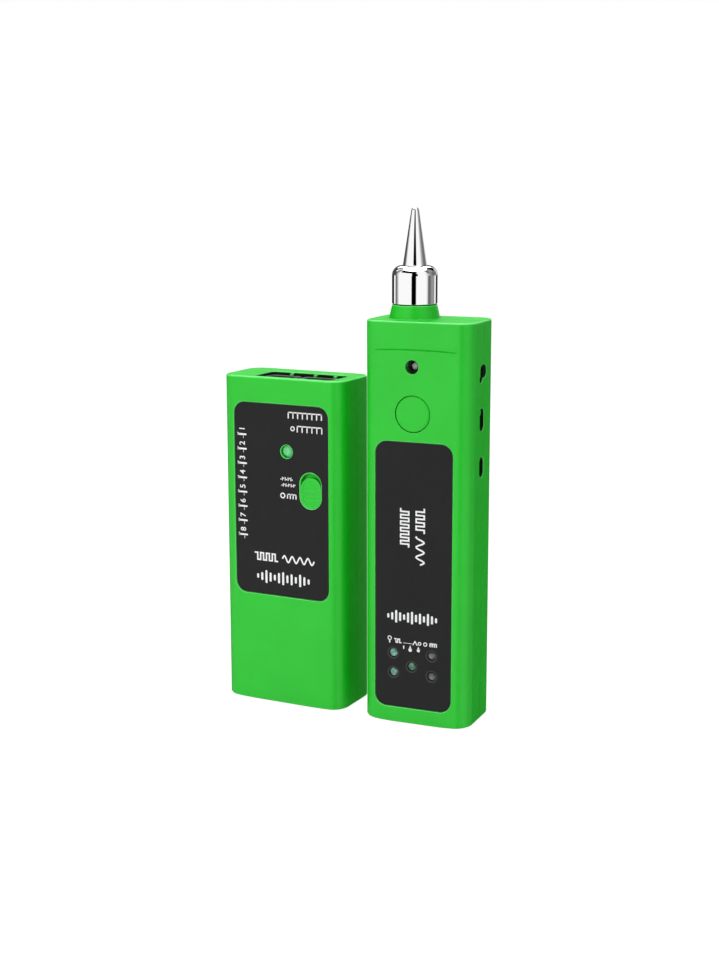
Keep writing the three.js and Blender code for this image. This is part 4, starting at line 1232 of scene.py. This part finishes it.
class WorldGraph:
    """Small helpers that build a world's nodes."""

    def __init__(self, name):
        self.world = bpy.data.worlds.new(name)
        self.world.use_nodes = True
        self.tree, self.links = self.world.node_tree, self.world.node_tree.links
        self.tree.nodes.clear()

    def math(self, operation, a, b=None):
        node = add_node(self.tree, "Math")
        node.operation = operation
        for socket, value in zip(node.inputs, (a, b)):
            if isinstance(value, (int, float)):
                socket.default_value = value
            elif value is not None:
                self.links.new(value, socket)
        return node.outputs[0]

    def within(self, value, low, high):
        return self.math("MULTIPLY", self.math("GREATER_THAN", value, math.radians(low)),
                         self.math("LESS_THAN", value, math.radians(high)))

    def around(self, bearing, stops):
        """A brightness that runs through stops, which are (degrees, brightness), with the bearing."""
        ramp = add_node(self.tree, "ValToRGB")
        elements = ramp.color_ramp.elements
        elements.remove(elements[1])
        for angle, value in stops:
            position = (angle + 180) / 360
            stop = elements.new(position) if position else elements[0]
            stop.position = position
            stop.color = (value, value, value, 1)
        self.links.new(self.math("ADD", self.math("DIVIDE", bearing, 2 * math.pi), 0.5), ramp.inputs["Fac"])
        return ramp.outputs["Color"]

    def background(self, color, strength=1.0):
        node = add_node(self.tree, "Background", Strength=strength)
        if isinstance(color, tuple):
            node.inputs["Color"].default_value = color
        else:
            self.links.new(color, node.inputs["Color"])
        return node.outputs[0]

    def mixed(self, factor, first, second):
        node = add_node(self.tree, "MixShader")
        for socket, value in zip(node.inputs, (factor, first, second)):
            self.links.new(value, socket)
        return node.outputs[0]


def build_world():
    """White behind for the camera, a soft round sky for matt light, and a studio's cards for gloss."""
    graph = WorldGraph("studio")
    bpy.context.scene.world = graph.world
    place, split = add_node(graph.tree, "TexCoord"), add_node(graph.tree, "SeparateXYZ")
    graph.links.new(place.outputs["Generated"], split.inputs[0])
    x, y, z = split.outputs
    bearing = graph.math("ARCTAN2", x, graph.math("MULTIPLY", y, -1.0))
    level = graph.math("ARCSINE", z)

    def card(name):
        return graph.math("MULTIPLY", graph.within(level, *CARDS[name]["level"]),
                          graph.within(bearing, *CARDS[name]["bearing"]))

    upper = graph.within(level, *UPPER)
    lower = graph.math("MULTIPLY", graph.around(bearing, HORIZON), graph.math("SUBTRACT", 1.0, upper))
    seen = graph.math("MAXIMUM", lower, graph.math("MULTIPLY", graph.around(bearing, UPPER_HORIZON), upper))
    seen = graph.math("MULTIPLY", seen, graph.math("SUBTRACT", 1.0, card("DARK")))
    for name in ("RIM", "SLIM", "TOP"):
        seen = graph.math("MAXIMUM", seen, graph.math("MULTIPLY", card(name), CARDS[name]["glow"]))
    path = add_node(graph.tree, "LightPath")
    soft = graph.background(graph.around(bearing, SKY_ROUND))
    shown = graph.mixed(path.outputs["Is Glossy Ray"], soft, graph.background(seen))
    shown = graph.mixed(path.outputs["Is Camera Ray"], shown, graph.background((1, 1, 1, 1), BACKGROUND))
    out = add_node(graph.tree, "OutputWorld")
    graph.links.new(shown, out.inputs["Surface"])


def area_light(name, position, size, power, target=(0, 0, 60)):
    data = bpy.data.lights.new(name, "AREA")
    data.shape = "RECTANGLE"
    data.size, data.size_y = [s * MM for s in size]
    data.energy = power
    light = bpy.data.objects.new(name, data)
    bpy.context.scene.collection.objects.link(light)
    light.location = [p * MM for p in position]
    aim = Vector(target) * MM - light.location
    light.rotation_euler = aim.to_track_quat("-Z", "Y").to_euler()
    light.visible_glossy = False
    light.visible_camera = False
    return light


def build_studio():
    build_floor()
    build_world()
    area_light("front_softbox", (-220, -1000, 380), (700, 900), FRONT_LIGHT)
    area_light("top_softbox", (-60, 60, 1000), (900, 900), TOP_LIGHT)
    scene = bpy.context.scene
    scene.view_settings.view_transform = "Standard"
    scene.view_settings.look = "None"
    scene.view_settings.exposure = 0.0
    scene.view_settings.gamma = 1.0


def build_camera():
    turn, pitch, roll = (math.radians(CAMERA[k]) for k in ("turn", "pitch", "roll"))
    data = bpy.data.cameras.new("camera")
    data.sensor_fit = "AUTO"
    data.sensor_width = CAMERA["sensor"]
    data.lens = CAMERA["lens"]
    data.shift_x, data.shift_y = CAMERA["shift"]
    data.clip_start, data.clip_end = 0.01, 20
    camera = bpy.data.objects.new("camera", data)
    bpy.context.scene.collection.objects.link(camera)
    look = Matrix.Rotation(turn, 4, "Z")
    place = look @ Vector((-CAMERA["across"], -CAMERA["away"], 0))
    place.z = CAMERA["height"]
    tilt = Matrix.Rotation(math.pi / 2 - pitch, 4, "X") @ Matrix.Rotation(roll, 4, "Z")
    camera.matrix_world = TX.matrix @ Matrix.Translation(place * MM) @ look @ tilt
    bpy.context.scene.camera = camera


build_camera()
build_studio()
build_transmitter_shells()
build_receiver_shells()
build_transmitter_label()
build_receiver_label()
build_transmitter_fittings()
build_probe()
build_receiver_fittings()
build_screws(TX, "tx")
build_screws(RX, "rx")
dress_carried()
